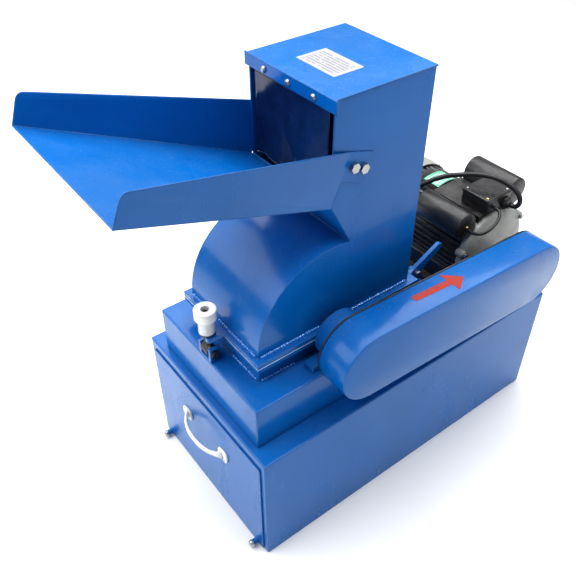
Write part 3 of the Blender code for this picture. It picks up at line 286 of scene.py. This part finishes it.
def printed(name, paper, ink, rows, axes, low, high, margin, coat=0.2):
    """A sticker with rows of dashes in place of words; axes are its across and down, as 0, 1 or 2."""
    made, tree, shader = material(name, 0.35, coat=coat)
    place = node(tree, "ShaderNodeTexCoord")
    split = node(tree, "ShaderNodeSeparateXYZ")
    tree.links.new(place.outputs["Object"], split.inputs[0])
    across, down = split.outputs[axes[0]], split.outputs[axes[1]]

    def inside(socket, start, end):
        return math_node(tree, "MULTIPLY", math_node(tree, "GREATER_THAN", socket, start),
                         math_node(tree, "LESS_THAN", socket, end))

    line = math_node(tree, "MULTIPLY", math_node(tree, "SUBTRACT", down, low[1] + margin),
                     rows / (high[1] - low[1] - 2 * margin))
    number = math_node(tree, "FLOOR", line)
    part = math_node(tree, "FRACT", line)
    mark = math_node(tree, "LESS_THAN", part, 0.42)                  # the inked share of each row
    words = node(tree, "ShaderNodeTexWhiteNoise", noise_dimensions="2D")
    pair = node(tree, "ShaderNodeCombineXYZ")
    column = math_node(tree, "FLOOR", math_node(tree, "MULTIPLY", across, DASHES_PER_METRE))
    tree.links.new(column, pair.inputs[0])
    tree.links.new(number, pair.inputs[1])
    tree.links.new(pair.outputs[0], words.inputs["Vector"])
    dashes = math_node(tree, "LESS_THAN", words.outputs["Value"], DASH_SHARE)
    shown = math_node(tree, "MULTIPLY", mark, dashes)
    area = math_node(tree, "MULTIPLY", inside(across, low[0] + margin, high[0] - margin),
                     inside(down, low[1] + margin, high[1] - margin))
    printed_area = math_node(tree, "MULTIPLY", math_node(tree, "MULTIPLY", shown, area), 0.8)
    paper_tone = steps(tree, grain(tree, 90.0, 4.0, 0.6), [(0.3, scaled(paper, 0.94)), (0.7, paper)])
    tree.links.new(blend_colours(tree, printed_area, paper_tone, ink), shader.inputs["Base Color"])
    bumps(tree, shader, [(grain(tree, 300.0, 3.0, 0.5), 0.10, 0.0003)], edge_mask(tree, 0.0004)[1])
    return made


BLUE_TONE = (0.0010, 0.116, 0.390)
BLUE = gloss_paint("gloss_blue", BLUE_TONE)
# the beads carry the sheet's paint; their 1.5 times lighter tone is a painted highlight for the glint on the
# lumps
LIT_WELD_BLUE = gloss_paint("weld_blue", scaled(BLUE_TONE, 1.5), rough=0.12, coat=1.0, peel=0.25, wavy=0.0,
                        dust=0.02, edge_wear_and_highlight=0.9, edge=0.0004, specular=1.0)
BLACK = rough_paint("motor_black", (0.014, 0.014, 0.016), rough=0.36, coat=0.25)
GREY = rough_paint("motor_grey", (0.30, 0.31, 0.30), rough=0.44, dust=0.10)
BEIGE = rough_paint("cover_grey", (0.34, 0.35, 0.33), rough=0.46, dust=0.12)
WHITE = rough_paint("white_enamel", (0.74, 0.74, 0.73), rough=0.22, texture=420.0, dust=0.05, coat=0.4,
                    depth=0.0002)
ZINC = metal("bright_zinc", (0.46, 0.46, 0.46), rough=0.30)
STEEL = metal("turned_steel", (0.48, 0.47, 0.46), rough=0.36, brush=(1.0, 14.0, 1.0), stained=0.30)
# dark steel for the latch pin; it also paints shade on the bright zinc swing bolt and clamp washer
DARK_STEEL_AND_SHADE = metal("black_steel", (0.09, 0.09, 0.10), rough=0.42, stained=0.15)
CAST = rough_paint("cast_iron", (0.085, 0.085, 0.090), rough=0.55, texture=520.0, dust=0.10)
BRASS = metal("brass", (0.78, 0.58, 0.26), rough=0.28, stain=(0.35, 0.22, 0.08))
PLASTIC = rubbery("black_plastic", (0.020, 0.020, 0.022), rough=0.34, scale=900.0)
RUBBER = rubbery("black_rubber", (0.014, 0.014, 0.016), rough=0.42, dust=0.10)
FLAP = rubbery("flap_rubber", (0.006, 0.016, 0.060), rough=0.16, scale=260.0, dust=0.04)
# a pale strip colour that draws a bright line along the flange seam
PALE_SEAM_LINE = rubbery("pale_seal", (0.50, 0.55, 0.62), rough=0.5, scale=500.0)
RED = gloss_paint("red_film", (0.36, 0.028, 0.014), rough=0.26, coat=0.3, wavy=0.0, peel=0.08, dust=0.03,
                  edge_wear_and_highlight=0.3, edge=0.0002)


# ---------------------------------------------------------------- mesh tools

def publish(name, data, finish, body, smooth_angle=40):
    """Links a bmesh as a smooth-shaded piece that rides on a body."""
    bmesh.ops.recalc_face_normals(data, faces=data.faces)
    mesh = bpy.data.meshes.new(name)
    data.to_mesh(mesh)
    data.free()
    mesh.shade_smooth()
    mesh.set_sharp_from_angle(angle=math.radians(smooth_angle))
    thing = bpy.data.objects.new(name, mesh)
    SCENE.collection.objects.link(thing)
    mesh.materials.append(finish)
    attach(thing, body)
    return thing


TURNS = {
    "X": Matrix(((0, 0, 1), (1, 0, 0), (0, 1, 0))),
    "Y": Matrix(((1, 0, 0), (0, 0, 1), (0, 1, 0))),
    "Z": Matrix.Identity(3),
}


def lathe(data, rings, at, axis, sides, flat=None):
    """Adds a turned shape; rings are (radius, distance), and flat cuts a hexagon of that half width."""
    turn = TURNS[axis]
    wedge = math.pi / 3
    loops = []
    for radius, depth in rings:
        loop = []
        for i in range(sides):
            angle = 2 * math.pi * i / sides
            reach = radius
            if flat:
                reach = min(radius, flat / math.cos((angle % wedge) - wedge / 2))
            local = Vector((reach * math.cos(angle), reach * math.sin(angle), depth))
            loop.append(data.verts.new(Vector(at) + turn @ local))
        loops.append(loop)
    data.faces.new(loops[0])
    data.faces.new(list(reversed(loops[-1])))
    for lower, upper in zip(loops, loops[1:]):
        for i in range(sides):
            j = (i + 1) % sides
            data.faces.new((lower[i], lower[j], upper[j], upper[i]))


def hex_head(data, at, axis, start, end, flat):
    """A hexagon head with a chamfered outer end; start is the seat and end the free face."""
    corner = flat / math.cos(math.pi / 6)
    drop = (corner - flat) * (0.55 if end > start else -0.55)
    lathe(data, [(corner, start), (corner, end - drop), (flat * 0.98, end)], at, axis, 72, flat=flat)


WASHER_THICK = 0.0014


def bolt(name, at, axis, seat, way, flat, head, washer):
    """A zinc hexagon head on a plain washer; way is +1 or -1 along the axis, from seat to free face."""
    data = bmesh.new()
    lathe(data, [(washer * 0.96, seat), (washer, seat + way * 0.0003), (washer, seat + way * 0.0011),
                 (washer * 0.96, seat + way * WASHER_THICK)], at, axis, 48)
    start = seat + way * WASHER_THICK
    hex_head(data, at, axis, start, start + way * head, flat)
    publish(name, data, ZINC, "root", 32)


def slab(data, low, high):
    """Adds a box between two corners."""
    low, high = Vector(low), Vector(high)
    for vert in bmesh.ops.create_cube(data, size=1.0)["verts"]:
        vert.co = Vector(a * b for a, b in zip(vert.co, high - low)) + (low + high) / 2


def catmull(route, per_leg):
    """A smooth path through a route's points."""
    points = [Vector(p) for p in route]
    ends = [2 * points[0] - points[1]] + points + [2 * points[-1] - points[-2]]
    smooth = []
    for i in range(1, len(ends) - 2):
        a, b, c, d = ends[i - 1:i + 3]
        for step in range(per_leg):
            t = step / per_leg
            smooth.append(0.5 * (2 * b + (c - a) * t + (2 * a - 5 * b + 4 * c - d) * t * t
                                 + (3 * b - a - 3 * c + d) * t ** 3))
    smooth.append(points[-1])
    return smooth


def cable(name, points, radius, finish, body):
    """A cord as one open curve with a round section."""
    curve = bpy.data.curves.new(name, "CURVE")
    curve.dimensions = "3D"
    curve.bevel_depth = radius
    curve.bevel_resolution = 5
    curve.use_fill_caps = True
    spline = curve.splines.new("POLY")
    spline.points.add(len(points) - 1)
    for slot, point in zip(spline.points, points):
        slot.co = (*point, 1.0)
    spline.use_smooth = True
    thing = bpy.data.objects.new(name, curve)
    SCENE.collection.objects.link(thing)
    curve.materials.append(finish)
    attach(thing, body)
    return thing


def ease(t):
    """A smooth step from 0 to 1."""
    t = min(1.0, max(0.0, t))
    return t * t * (3 - 2 * t)


# ---------------------------------------------------------------- cords

CORD_RADIUS = 0.0042
LINK_RADIUS = 0.0028
COIL_CENTRE = Vector((0.170, 0.235, 0.0))
COIL_INNER = 0.0418
COIL_OUTER = 0.0502
LAYER_LOW = 0.0045
LAYER_HIGH = 0.0129
COIL_STARTS = 80                   # degrees round the coil, where the cord joins it
COIL_SWEEP = 1070                  # degrees that it winds
ARRIVES_AT = 184
ARRIVAL_RADIUS = 0.0950
ARRIVAL_HEIGHT = 0.0068
LEAD_OUT = Vector((0.250, -0.1016, 0.427))
LINK_ROUTE = (
    (0.1620, -0.0884, 0.4060), (0.1620, -0.0990, 0.4060), (0.1660, -0.1110, 0.4090),
    (0.1780, -0.1170, 0.4140), (0.1930, -0.1170, 0.4195), (0.2070, -0.1130, 0.4250),
    (0.2160, -0.1050, 0.4290), (0.2180, -0.0970, 0.4300), (0.2180, -0.0894, 0.4300),
)
CORD_ROUTE = (
    tuple(LEAD_OUT), (0.2503, -0.1065, 0.4273), (0.2508, -0.1115, 0.4296), (0.2515, -0.1148, 0.4348),
    (0.2520, -0.1155, 0.4420), (0.2520, -0.1125, 0.4492), (0.2510, -0.1062, 0.4558),
    (0.2488, -0.0973, 0.4614), (0.2452, -0.0862, 0.4658), (0.2400, -0.0735, 0.4688),
    (0.2325, -0.0592, 0.4702), (0.2220, -0.0425, 0.4695), (0.2055, -0.0235, 0.4660),
    (0.1860, -0.0030, 0.4600),
    (0.1620, 0.0180, 0.4450), (0.1400, 0.0400, 0.4200), (0.1240, 0.0660, 0.3860),
    (0.1180, 0.0950, 0.3420), (0.1180, 0.1250, 0.2980), (0.1200, 0.1520, 0.2640),
    (0.1180, 0.1760, 0.2380), (0.1120, 0.1890, 0.1980), (0.1040, 0.1920, 0.1500),
    (0.0940, 0.1905, 0.1000), (0.0840, 0.1910, 0.0600), (0.0770, 0.1990, 0.0290),
    (0.0740, 0.2130, 0.0120),
)


def around_coil(angle, radius, height):
    """A point on the coil, its angle in degrees."""
    turn = math.radians(angle)
    return COIL_CENTRE + Vector((radius * math.cos(turn), radius * math.sin(turn), height))


def coiled_end(plug_mouth):
    """The cord's spiral on to the coil, its three turns in two layers, and its way out to the plug."""
    points = []
    for step in range(9):
        t = step / 9
        points.append(around_coil(ARRIVES_AT - (ARRIVES_AT - COIL_STARTS) * t,
                                  ARRIVAL_RADIUS - (ARRIVAL_RADIUS - COIL_OUTER) * ease(t),
                                  ARRIVAL_HEIGHT - (ARRIVAL_HEIGHT - LAYER_LOW) * ease(3 * t)))
    for step in range(int(COIL_SWEEP / 15) + 1):
        turned_by = min(COIL_SWEEP, step * 15)
        inward = ease((turned_by - 300) / 60) - ease((turned_by - 900) / 60)
        radius = COIL_OUTER + (COIL_INNER - COIL_OUTER) * inward
        height = LAYER_LOW + (LAYER_HIGH - LAYER_LOW) * ease((turned_by - 595) / 80)
        points.append(around_coil(COIL_STARTS - turned_by, radius, height))
    start = points[-1]
    for step in range(1, 6):
        t = step / 5
        points.append(Vector((start.x + (plug_mouth.x - start.x) * t,
                              start.y + (plug_mouth.y - start.y) * ease(t),
                              start.z + (plug_mouth.z - start.z) * ease(t))))
    return points


plug_low, plug_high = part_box("mains_plug")
PLUG_MOUTH = Vector((plug_low.x - 0.0004, (plug_low.y + plug_high.y) / 2, (plug_low.z + plug_high.z) / 2))
cord_path = catmull(CORD_ROUTE, 4) + catmull(coiled_end(PLUG_MOUTH), 2)
mains = cable("mains_lead", cord_path, CORD_RADIUS, RUBBER, "root")
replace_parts(mains, "mains_cord", "cord_coil")

link_path = catmull(LINK_ROUTE, 4)
link = cable("capacitor_link", link_path, LINK_RADIUS, RUBBER, "root")
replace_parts(link, "capacitor_lead")


# ---------------------------------------------------------------- CAD nodes kept, with their finishes

FINISHES = {
    BLUE: ("cabinet", "plinth", "lower_chamber", "bearing_near", "bearing_far", "latch_ears", "hinge_base",
           "belt_guard", "motor_base", "drawer_bin", "drawer_front", "upper_housing", "tower_cover",
           "feed_tray", "hinge_arm"),
    BLACK: ("guard_back_plate", "motor_frame"),
    GREY: ("drive_end_bell",),
    BEIGE: ("fan_cover",),
    STEEL: ("screen", "rotor_shaft", "hammer_pin_1", "hammer_pin_2", "hammer_pin_3", "hammer_pin_4",
            "hammer_1", "hammer_2", "hammer_3", "hammer_4", "motor_rotor"),
    ZINC: ("hinge_pin", "corner_screw_left", "corner_screw_right",
           "lip_screw_1", "lip_screw_2", "lip_screw_3", "tray_bolt_near_1", "tray_bolt_near_2",
           "tray_bolt_far_1", "tray_bolt_far_2"),
    # the swing bolt and clamp washer are bright zinc, drawn dark as painted shade for the shadowed gap
    # between the ears
    DARK_STEEL_AND_SHADE: ("latch_pin", "swing_bolt", "clamp_washer"),
    CAST: ("rotor_disc_near", "rotor_disc_far", "rotor_pulley", "motor_pulley"),
    WHITE: ("drawer_handle", "clamp_knob"),
    RUBBER: ("v_belt", "mains_plug"),
    PLASTIC: ("terminal_box", "cable_gland", "start_capacitor", "run_capacitor", "cooling_fan"),
}
SHARP_NODES = ("cabinet", "plinth", "lower_chamber", "drawer_bin", "drawer_front", "tower_cover",
               "feed_tray", "motor_base")


def dress(name, finish, angle=34):
    """Stands a welded, smooth-shaded skin of the same shape in for a round CAD node."""
    data = bmesh.new()
    data.from_mesh(NODES[name].data)
    bmesh.ops.remove_doubles(data, verts=data.verts, dist=2e-6)
    bmesh.ops.dissolve_limit(data, angle_limit=math.radians(0.6), verts=data.verts, edges=data.edges)
    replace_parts(publish(name + "_skin", data, finish, NODES[name]["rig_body"], angle), name)


WIDE_ANGLE = {"drawer_handle": 62, "mains_plug": 50, "cable_gland": 40}
for finish, names in FINISHES.items():
    for name in names:
        if name in SHARP_NODES:
            mesh = NODES[name].data
            mesh.materials.clear()
            mesh.materials.append(finish)
        else:
            dress(name, finish, WIDE_ANGLE.get(name, 34))


# ---------------------------------------------------------------- flap

def hanging_flap():
    """A rubber flap with slack creases fanning from its clamped top edge."""
    low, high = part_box("curtain")
    across, down = 48, 40
    data = bmesh.new()
    grid = []
    for i in range(across + 1):
        row = []
        for k in range(down + 1):
            u, v = i / across, k / down
            y = low.y + (high.y - low.y) * u
            z = high.z - (high.z - low.z) * v
            fold = 0.0030 * math.exp(-((u - 0.30 - 0.25 * v) / 0.10) ** 2) * v
            fold += 0.0036 * math.exp(-((u - 0.66 + 0.18 * v) / 0.07) ** 2) * v ** 1.4
            fold += 0.0022 * math.exp(-((u - 0.92) / 0.06) ** 2) * v
            fold += 0.0012 * noise.noise(Vector((u * 4, v * 3, 2.0))) * ease(2 * v)
            row.append(data.verts.new((low.x + 0.0010 + fold, y, z)))
        grid.append(row)
    for i in range(across):
        for k in range(down):
            data.faces.new((grid[i][k], grid[i + 1][k], grid[i + 1][k + 1], grid[i][k + 1]))
    flap = publish("rubber_flap", data, FLAP, "curtain", 60)
    thicken = flap.modifiers.new("thickness", "SOLIDIFY")
    thicken.thickness = 0.0014
    thicken.offset = 0.0
    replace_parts(flap, "curtain")


hanging_flap()


# ---------------------------------------------------------------- label, arrow and nameplate

FILM_UNDER = 0.00005               # the film's underside and top, above what it lies on
FILM_OVER = 0.0003


def sticker(name, outline, height, finish, body):
    """A flat film; outline is in x and y, and height gives the surface's z under each point."""
    data = bmesh.new()
    lower = [data.verts.new((x, y, height(x, y) + FILM_UNDER)) for x, y in outline]
    upper = [data.verts.new((x, y, height(x, y) + FILM_OVER)) for x, y in outline]
    data.faces.new(lower)
    data.faces.new(list(reversed(upper)))
    count = len(outline)
    for i in range(count):
        j = (i + 1) % count
        data.faces.new((lower[i], upper[i], upper[j], lower[j]))
    publish(name, data, finish, body, 30)


def round_box(low, high, radius):
    """A rounded rectangle's outline."""
    points = []
    for cx, cy, start in ((high[0] - radius, high[1] - radius, 0), (low[0] + radius, high[1] - radius, 90),
                          (low[0] + radius, low[1] + radius, 180), (high[0] - radius, low[1] + radius, 270)):
        for k in range(6):
            angle = math.radians(start + 90 * k / 5)
            points.append((cx + radius * math.cos(angle), cy + radius * math.sin(angle)))
    return points


COVER_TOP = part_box("tower_cover")[1].z
LABEL_LOW, LABEL_HIGH = (-0.107, -0.041), (-0.056, 0.037)
LABEL = printed("paper_label", (0.37, 0.37, 0.39), (0.12, 0.12, 0.14), 7, (1, 0), LABEL_LOW[::-1],
                LABEL_HIGH[::-1], 0.006, coat=0.0)
sticker("cover_label", round_box(LABEL_LOW, LABEL_HIGH, 0.002), lambda x, y: COVER_TOP, LABEL, "lid")

GUARD_ROTOR = Vector((-0.1395, 0.358))
GUARD_MOTOR = Vector((MOTOR_X, MOTOR_Z))
GUARD_RADIUS = 0.059


def guard_top(x, y):
    """The height of the guard's flat top band, the same at every y."""
    along = (GUARD_MOTOR - GUARD_ROTOR).normalized()
    start = GUARD_ROTOR + Vector((-along.y, along.x)) * GUARD_RADIUS
    return start.y + (x - start.x) * along.y / along.x


ARROW = ((-0.040, -0.157), (-0.040, -0.169), (0.035, -0.1715), (0.035, -0.187), (0.064, -0.168),
         (0.035, -0.143), (0.035, -0.1595))
sticker("direction_arrow", ARROW, guard_top, RED, "root")


PLATE_LOW = (0.209, 0.026)
PLATE_HIGH = (0.255, 0.062)
PLATE_REACH = 0.0788               # from the motor's axis to the plate's underside
PLATE_HALF_ARC = 17                # degrees


def nameplate():
    """A thin plate bent over the frame's fins, with two rivets."""
    data = bmesh.new()
    rows = []
    for thick in (0.0, 0.0006):
        row = []
        for i in range(13):
            angle = math.radians(90 + PLATE_HALF_ARC - 2 * PLATE_HALF_ARC * i / 12)
            out = PLATE_REACH + thick
            row.append([(MOTOR_X + out * math.cos(angle), y, MOTOR_Z + out * math.sin(angle))
                        for y in (PLATE_LOW[1], PLATE_HIGH[1])])
        rows.append([[data.verts.new(p) for p in pair] for pair in row])
    low, high = rows
    for i in range(12):
        data.faces.new((high[i][0], high[i + 1][0], high[i + 1][1], high[i][1]))
        data.faces.new((low[i][0], low[i][1], low[i + 1][1], low[i + 1][0]))
        for k in (0, 1):
            data.faces.new((low[i][k], low[i + 1][k], high[i + 1][k], high[i][k]))
    for i in (0, 12):
        data.faces.new((low[i][0], high[i][0], high[i][1], low[i][1]))
    publish("motor_plate", data, PLATE, "root", 40)
    for tag, angle in (("left", 104), ("right", 76)):
        turn = math.radians(angle)
        out = PLATE_REACH + 0.0005
        data = bmesh.new()
        lathe(data, [(0.0016, 0.0), (0.0015, 0.0006), (0.0009, 0.0010), (0.0002, 0.0011)],
              (MOTOR_X + out * math.cos(turn), 0.030, MOTOR_Z + out * math.sin(turn)), "Z", 16)
        publish("plate_rivet_" + tag, data, ZINC, "root", 60)


PLATE = printed("plate_print", (0.10, 0.42, 0.27), (0.75, 0.78, 0.74), 6, (0, 1), PLATE_LOW, PLATE_HIGH,
                0.003)
nameplate()


# ---------------------------------------------------------------- motor details

def terminal_lid():
    """The terminal box's cap, a little proud of the box, with four screws, one of them brass."""
    low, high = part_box("terminal_box")
    proud, deep, inset = 0.0008, 0.0070, 0.006
    data = bmesh.new()
    slab(data, (low.x - proud, low.y - proud, high.z - deep),
         (high.x + proud, high.y + proud, high.z + 0.0006))
    cap = publish("terminal_cap", data, PLASTIC, "root", 40)
    rounding = cap.modifiers.new("rounding", "BEVEL")
    rounding.width = 0.0024
    rounding.segments = 4
    for i, (x, y) in enumerate(((low.x + inset, low.y + inset), (high.x - inset, low.y + inset),
                                (low.x + inset, high.y - inset), (high.x - inset, high.y - inset))):
        data = bmesh.new()
        lathe(data, [(0.0026, high.z + 0.0004), (0.0026, high.z + 0.0012), (0.0020, high.z + 0.0018),
                     (0.0004, high.z + 0.0020)], (x, y, 0), "Z", 24)
        publish(f"cap_screw_{i + 1}", data, BRASS if i == 0 else ZINC, "root", 50)


def capacitor_screw(name, slot):
    """A domed brass screw head in the middle of a capacitor cover's near end."""
    low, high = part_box(slot)
    seat, radius = low.y, 0.0028
    data = bmesh.new()
    lathe(data, [(radius, seat + 0.0004), (radius, seat - 0.0008), (radius * 0.8, seat - 0.0016),
                 (radius * 0.25, seat - 0.0020)], ((low.x + high.x) / 2, 0, (low.z + high.z) / 2), "Y", 28)
    publish(name, data, BRASS, "root", 50)


def bell_bolts():
    """A small bolt on each lug of the end bell."""
    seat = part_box("motor_frame")[0].y - LUG_AHEAD
    for i, lug_angle in enumerate((33, 165, 215, 325)):
        turn = math.radians(lug_angle)
        spot = (MOTOR_X + LUG_RADIUS * math.cos(turn), 0, MOTOR_Z + LUG_RADIUS * math.sin(turn))
        bolt(f"bell_bolt_{i + 1}", spot, "Y", seat, -1, flat=0.0040, head=0.0034, washer=0.0052)


def fan_screws():
    """Four domed screws round the fan cover's open edge."""
    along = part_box("fan_cover")[0].y + 0.010
    for i, screw_angle in enumerate((45, 135, 225, 315)):
        turn = math.radians(screw_angle)
        spot = Vector((MOTOR_X + FAN_SCREW_RADIUS * math.cos(turn), along,
                       MOTOR_Z + FAN_SCREW_RADIUS * math.sin(turn)))
        data = bmesh.new()
        bmesh.ops.create_uvsphere(data, u_segments=20, v_segments=10, radius=0.0030)
        for vert in data.verts:
            vert.co = spot + vert.co * 0.9
        publish(f"fan_screw_{i + 1}", data, ZINC, "root", 60)


def foot_bolts():
    """Bolts through the motor's feet into the base plate."""
    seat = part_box("motor_base")[1].z + FOOT_THICK
    for i, (x, y) in enumerate(((-0.069, -0.055), (-0.069, 0.050), (0.068, -0.055), (0.068, 0.050))):
        bolt(f"foot_bolt_{i + 1}", (MOTOR_X + x, y, 0), "Z", seat, 1, flat=0.0050, head=0.0045, washer=0.0062)


LUG_RADIUS = 0.0785
LUG_AHEAD = 0.0113                 # from the frame's near end to the lugs' faces
FAN_SCREW_RADIUS = 0.0823
FOOT_THICK = 0.0103

terminal_lid()
capacitor_screw("capacitor_screw_near", "start_capacitor")
capacitor_screw("capacitor_screw_rear", "run_capacitor")
bell_bolts()
fan_screws()
foot_bolts()


# ---------------------------------------------------------------- pale line at the flange seam

def flange_seal():
    """A pale strip between the two flanges, broken where the shaft passes; it draws a bright line along the
    seam.
    """
    data = bmesh.new()
    low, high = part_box("lower_chamber")
    proud, tall = 0.0005, 0.0007
    front, back, side = low.x, high.x, high.y
    gap = 0.016
    for x0, y0, x1, y1 in ((front - proud, -side - proud, front + 0.002, side + proud),
                           (front + 0.002, -side - proud, SHAFT_X - gap, -side + 0.002),
                           (SHAFT_X + gap, -side - proud, back - 0.001, -side + 0.002),
                           (front + 0.002, side - 0.002, SHAFT_X - gap, side + proud),
                           (SHAFT_X + gap, side - 0.002, back - 0.001, side + proud)):
        slab(data, (x0, y0, high.z - tall), (x1, y1, high.z + 0.0002))
    publish("flange_seal", data, PALE_SEAM_LINE, "root", 30)


flange_seal()


# ---------------------------------------------------------------- welds

BEAD_PITCH = 0.0058


def weld_bead(name, start, end, radius, body, seed):
    """A hand-laid bead: overlapping ripples along a slightly wandering line."""
    random.seed(seed)
    start, end = Vector(start), Vector(end)
    run = end - start
    along = run.normalized()
    side = along.cross(Vector((0, 0, 1))).normalized()
    lift = side.cross(along)
    data = bmesh.new()
    count = max(8, int(run.length / BEAD_PITCH * 8))
    phase = random.random() * 6
    loops = []
    for i in range(count + 1):
        t = i / count
        here = run.length * t
        ripple = 0.66 + 0.46 * math.sin(math.pi * here / BEAD_PITCH) ** 2
        ripple += 0.40 * noise.noise(Vector((here * 110, seed, 0)))
        wander = 0.0010 * noise.noise(Vector((here * 25, seed + 9, 3)))
        taper = min(1.0, 0.25 + 6 * min(t, 1 - t) * run.length / 0.03)
        reach = radius * ripple * min(1.0, taper)
        middle = start + along * here + side * wander
        loop = []
        for k in range(10):
            angle = 2 * math.pi * k / 10 + phase
            outward = side * reach * math.cos(angle) + lift * reach * 0.85 * math.sin(angle)
            loop.append(data.verts.new(middle + outward))
        loops.append(loop)
    data.faces.new(loops[0])
    data.faces.new(list(reversed(loops[-1])))
    for lower, upper in zip(loops, loops[1:]):
        for k in range(10):
            m = (k + 1) % 10
            data.faces.new((lower[k], lower[m], upper[m], upper[k]))
    publish(name, data, LIT_WELD_BLUE, body, 80)


HOOD_SIDE = 0.0905
HOOD_FRONT = -0.270
TOWER_BACK = 0.024
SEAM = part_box("upper_housing")[0].z + 0.0080 + 0.0008
FOOT_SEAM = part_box("plinth")[1].z + 0.0012
HOOD_BEAD = 0.0036
FOOT_BEAD = 0.0032
BEAD_X = HOOD_FRONT - 0.0006
BEAD_Y = HOOD_SIDE + 0.0006
BEAD_END = HOOD_SIDE - 0.004
CLEAR_OF_SHAFT = 0.020
CLEAR_OF_BEARING = 0.066
CLEAR_OF_CLAMP = 0.020


def hood_beads():
    """Beads round the hood on its flange, broken at the shaft."""
    weld_bead("weld_front", (BEAD_X, -BEAD_END, SEAM), (BEAD_X, BEAD_END, SEAM), HOOD_BEAD, "lid", 3)
    for side, y, seed in (("near", -BEAD_Y, 5), ("far", BEAD_Y, 11)):
        weld_bead(f"weld_{side}_1", (HOOD_FRONT + 0.002, y, SEAM), (SHAFT_X - CLEAR_OF_SHAFT, y, SEAM),
                  HOOD_BEAD, "lid", seed)
        weld_bead(f"weld_{side}_2", (SHAFT_X + CLEAR_OF_SHAFT, y, SEAM), (TOWER_BACK - 0.004, y, SEAM),
                  HOOD_BEAD, "lid", seed + 2)


def foot_beads():
    """Beads at the chamber's foot, broken behind the clamp and short of the bearings."""
    low = FOOT_SEAM
    weld_bead("weld_foot_front", (BEAD_X, -BEAD_END, low), (BEAD_X, -CLEAR_OF_CLAMP, low), FOOT_BEAD,
              "root", 17)
    weld_bead("weld_foot_front_2", (BEAD_X, CLEAR_OF_CLAMP, low), (BEAD_X, BEAD_END, low), FOOT_BEAD,
              "root", 19)
    for side, y, seed in (("near", -BEAD_Y, 23), ("far", BEAD_Y, 29)):
        weld_bead(f"weld_foot_{side}", (HOOD_FRONT + 0.002, y, low), (SHAFT_X - CLEAR_OF_BEARING, y, low),
                  FOOT_BEAD, "root", seed)


hood_beads()
foot_beads()


# ---------------------------------------------------------------- stage, lights

def floor():
    """A wide pale studio floor."""
    data = bmesh.new()
    bmesh.ops.create_grid(data, x_segments=8, y_segments=8, size=6.0)
    mesh = bpy.data.meshes.new("floor")
    data.to_mesh(mesh)
    data.free()
    thing = bpy.data.objects.new("floor", mesh)
    SCENE.collection.objects.link(thing)
    made, tree, shader = material("studio_floor", 0.75)
    tone = steps(tree, grain(tree, 3.0, 3.0, 0.5), [(0.3, 0.86), (0.7, 0.90)])
    tree.links.new(tone, shader.inputs["Base Color"])
    mesh.materials.append(made)


def soft_light(name, place, target, size, power):
    """A square white softbox aimed at a point."""
    data = bpy.data.lights.new(name, "AREA")
    data.size = size
    data.energy = power
    thing = bpy.data.objects.new(name, data)
    thing.location = place
    thing.rotation_euler = (Vector(target) - Vector(place)).to_track_quat("-Z", "Y").to_euler()
    SCENE.collection.objects.link(thing)


floor()
soft_light("softbox_left", (-1.7, 1.1, 2.0), (0, 0, 0.35), 2.6, 52)
soft_light("softbox_top", (0.5, 0.5, 2.6), (0, 0, 0.3), 3.0, 104)
soft_light("softbox_right", (1.4, -1.8, 1.5), (0, 0, 0.3), 2.0, 12)
soft_light("sparkle", (-1.3, -0.5, 2.2), (0, 0, 0.3), 0.35, 8)

world = bpy.data.worlds.new("studio")
world.use_nodes = True
sky = world.node_tree.nodes["Background"]
sky.inputs["Color"].default_value = (1.0, 1.0, 1.0, 1.0)
sky.inputs["Strength"].default_value = 0.30
SCENE.world = world
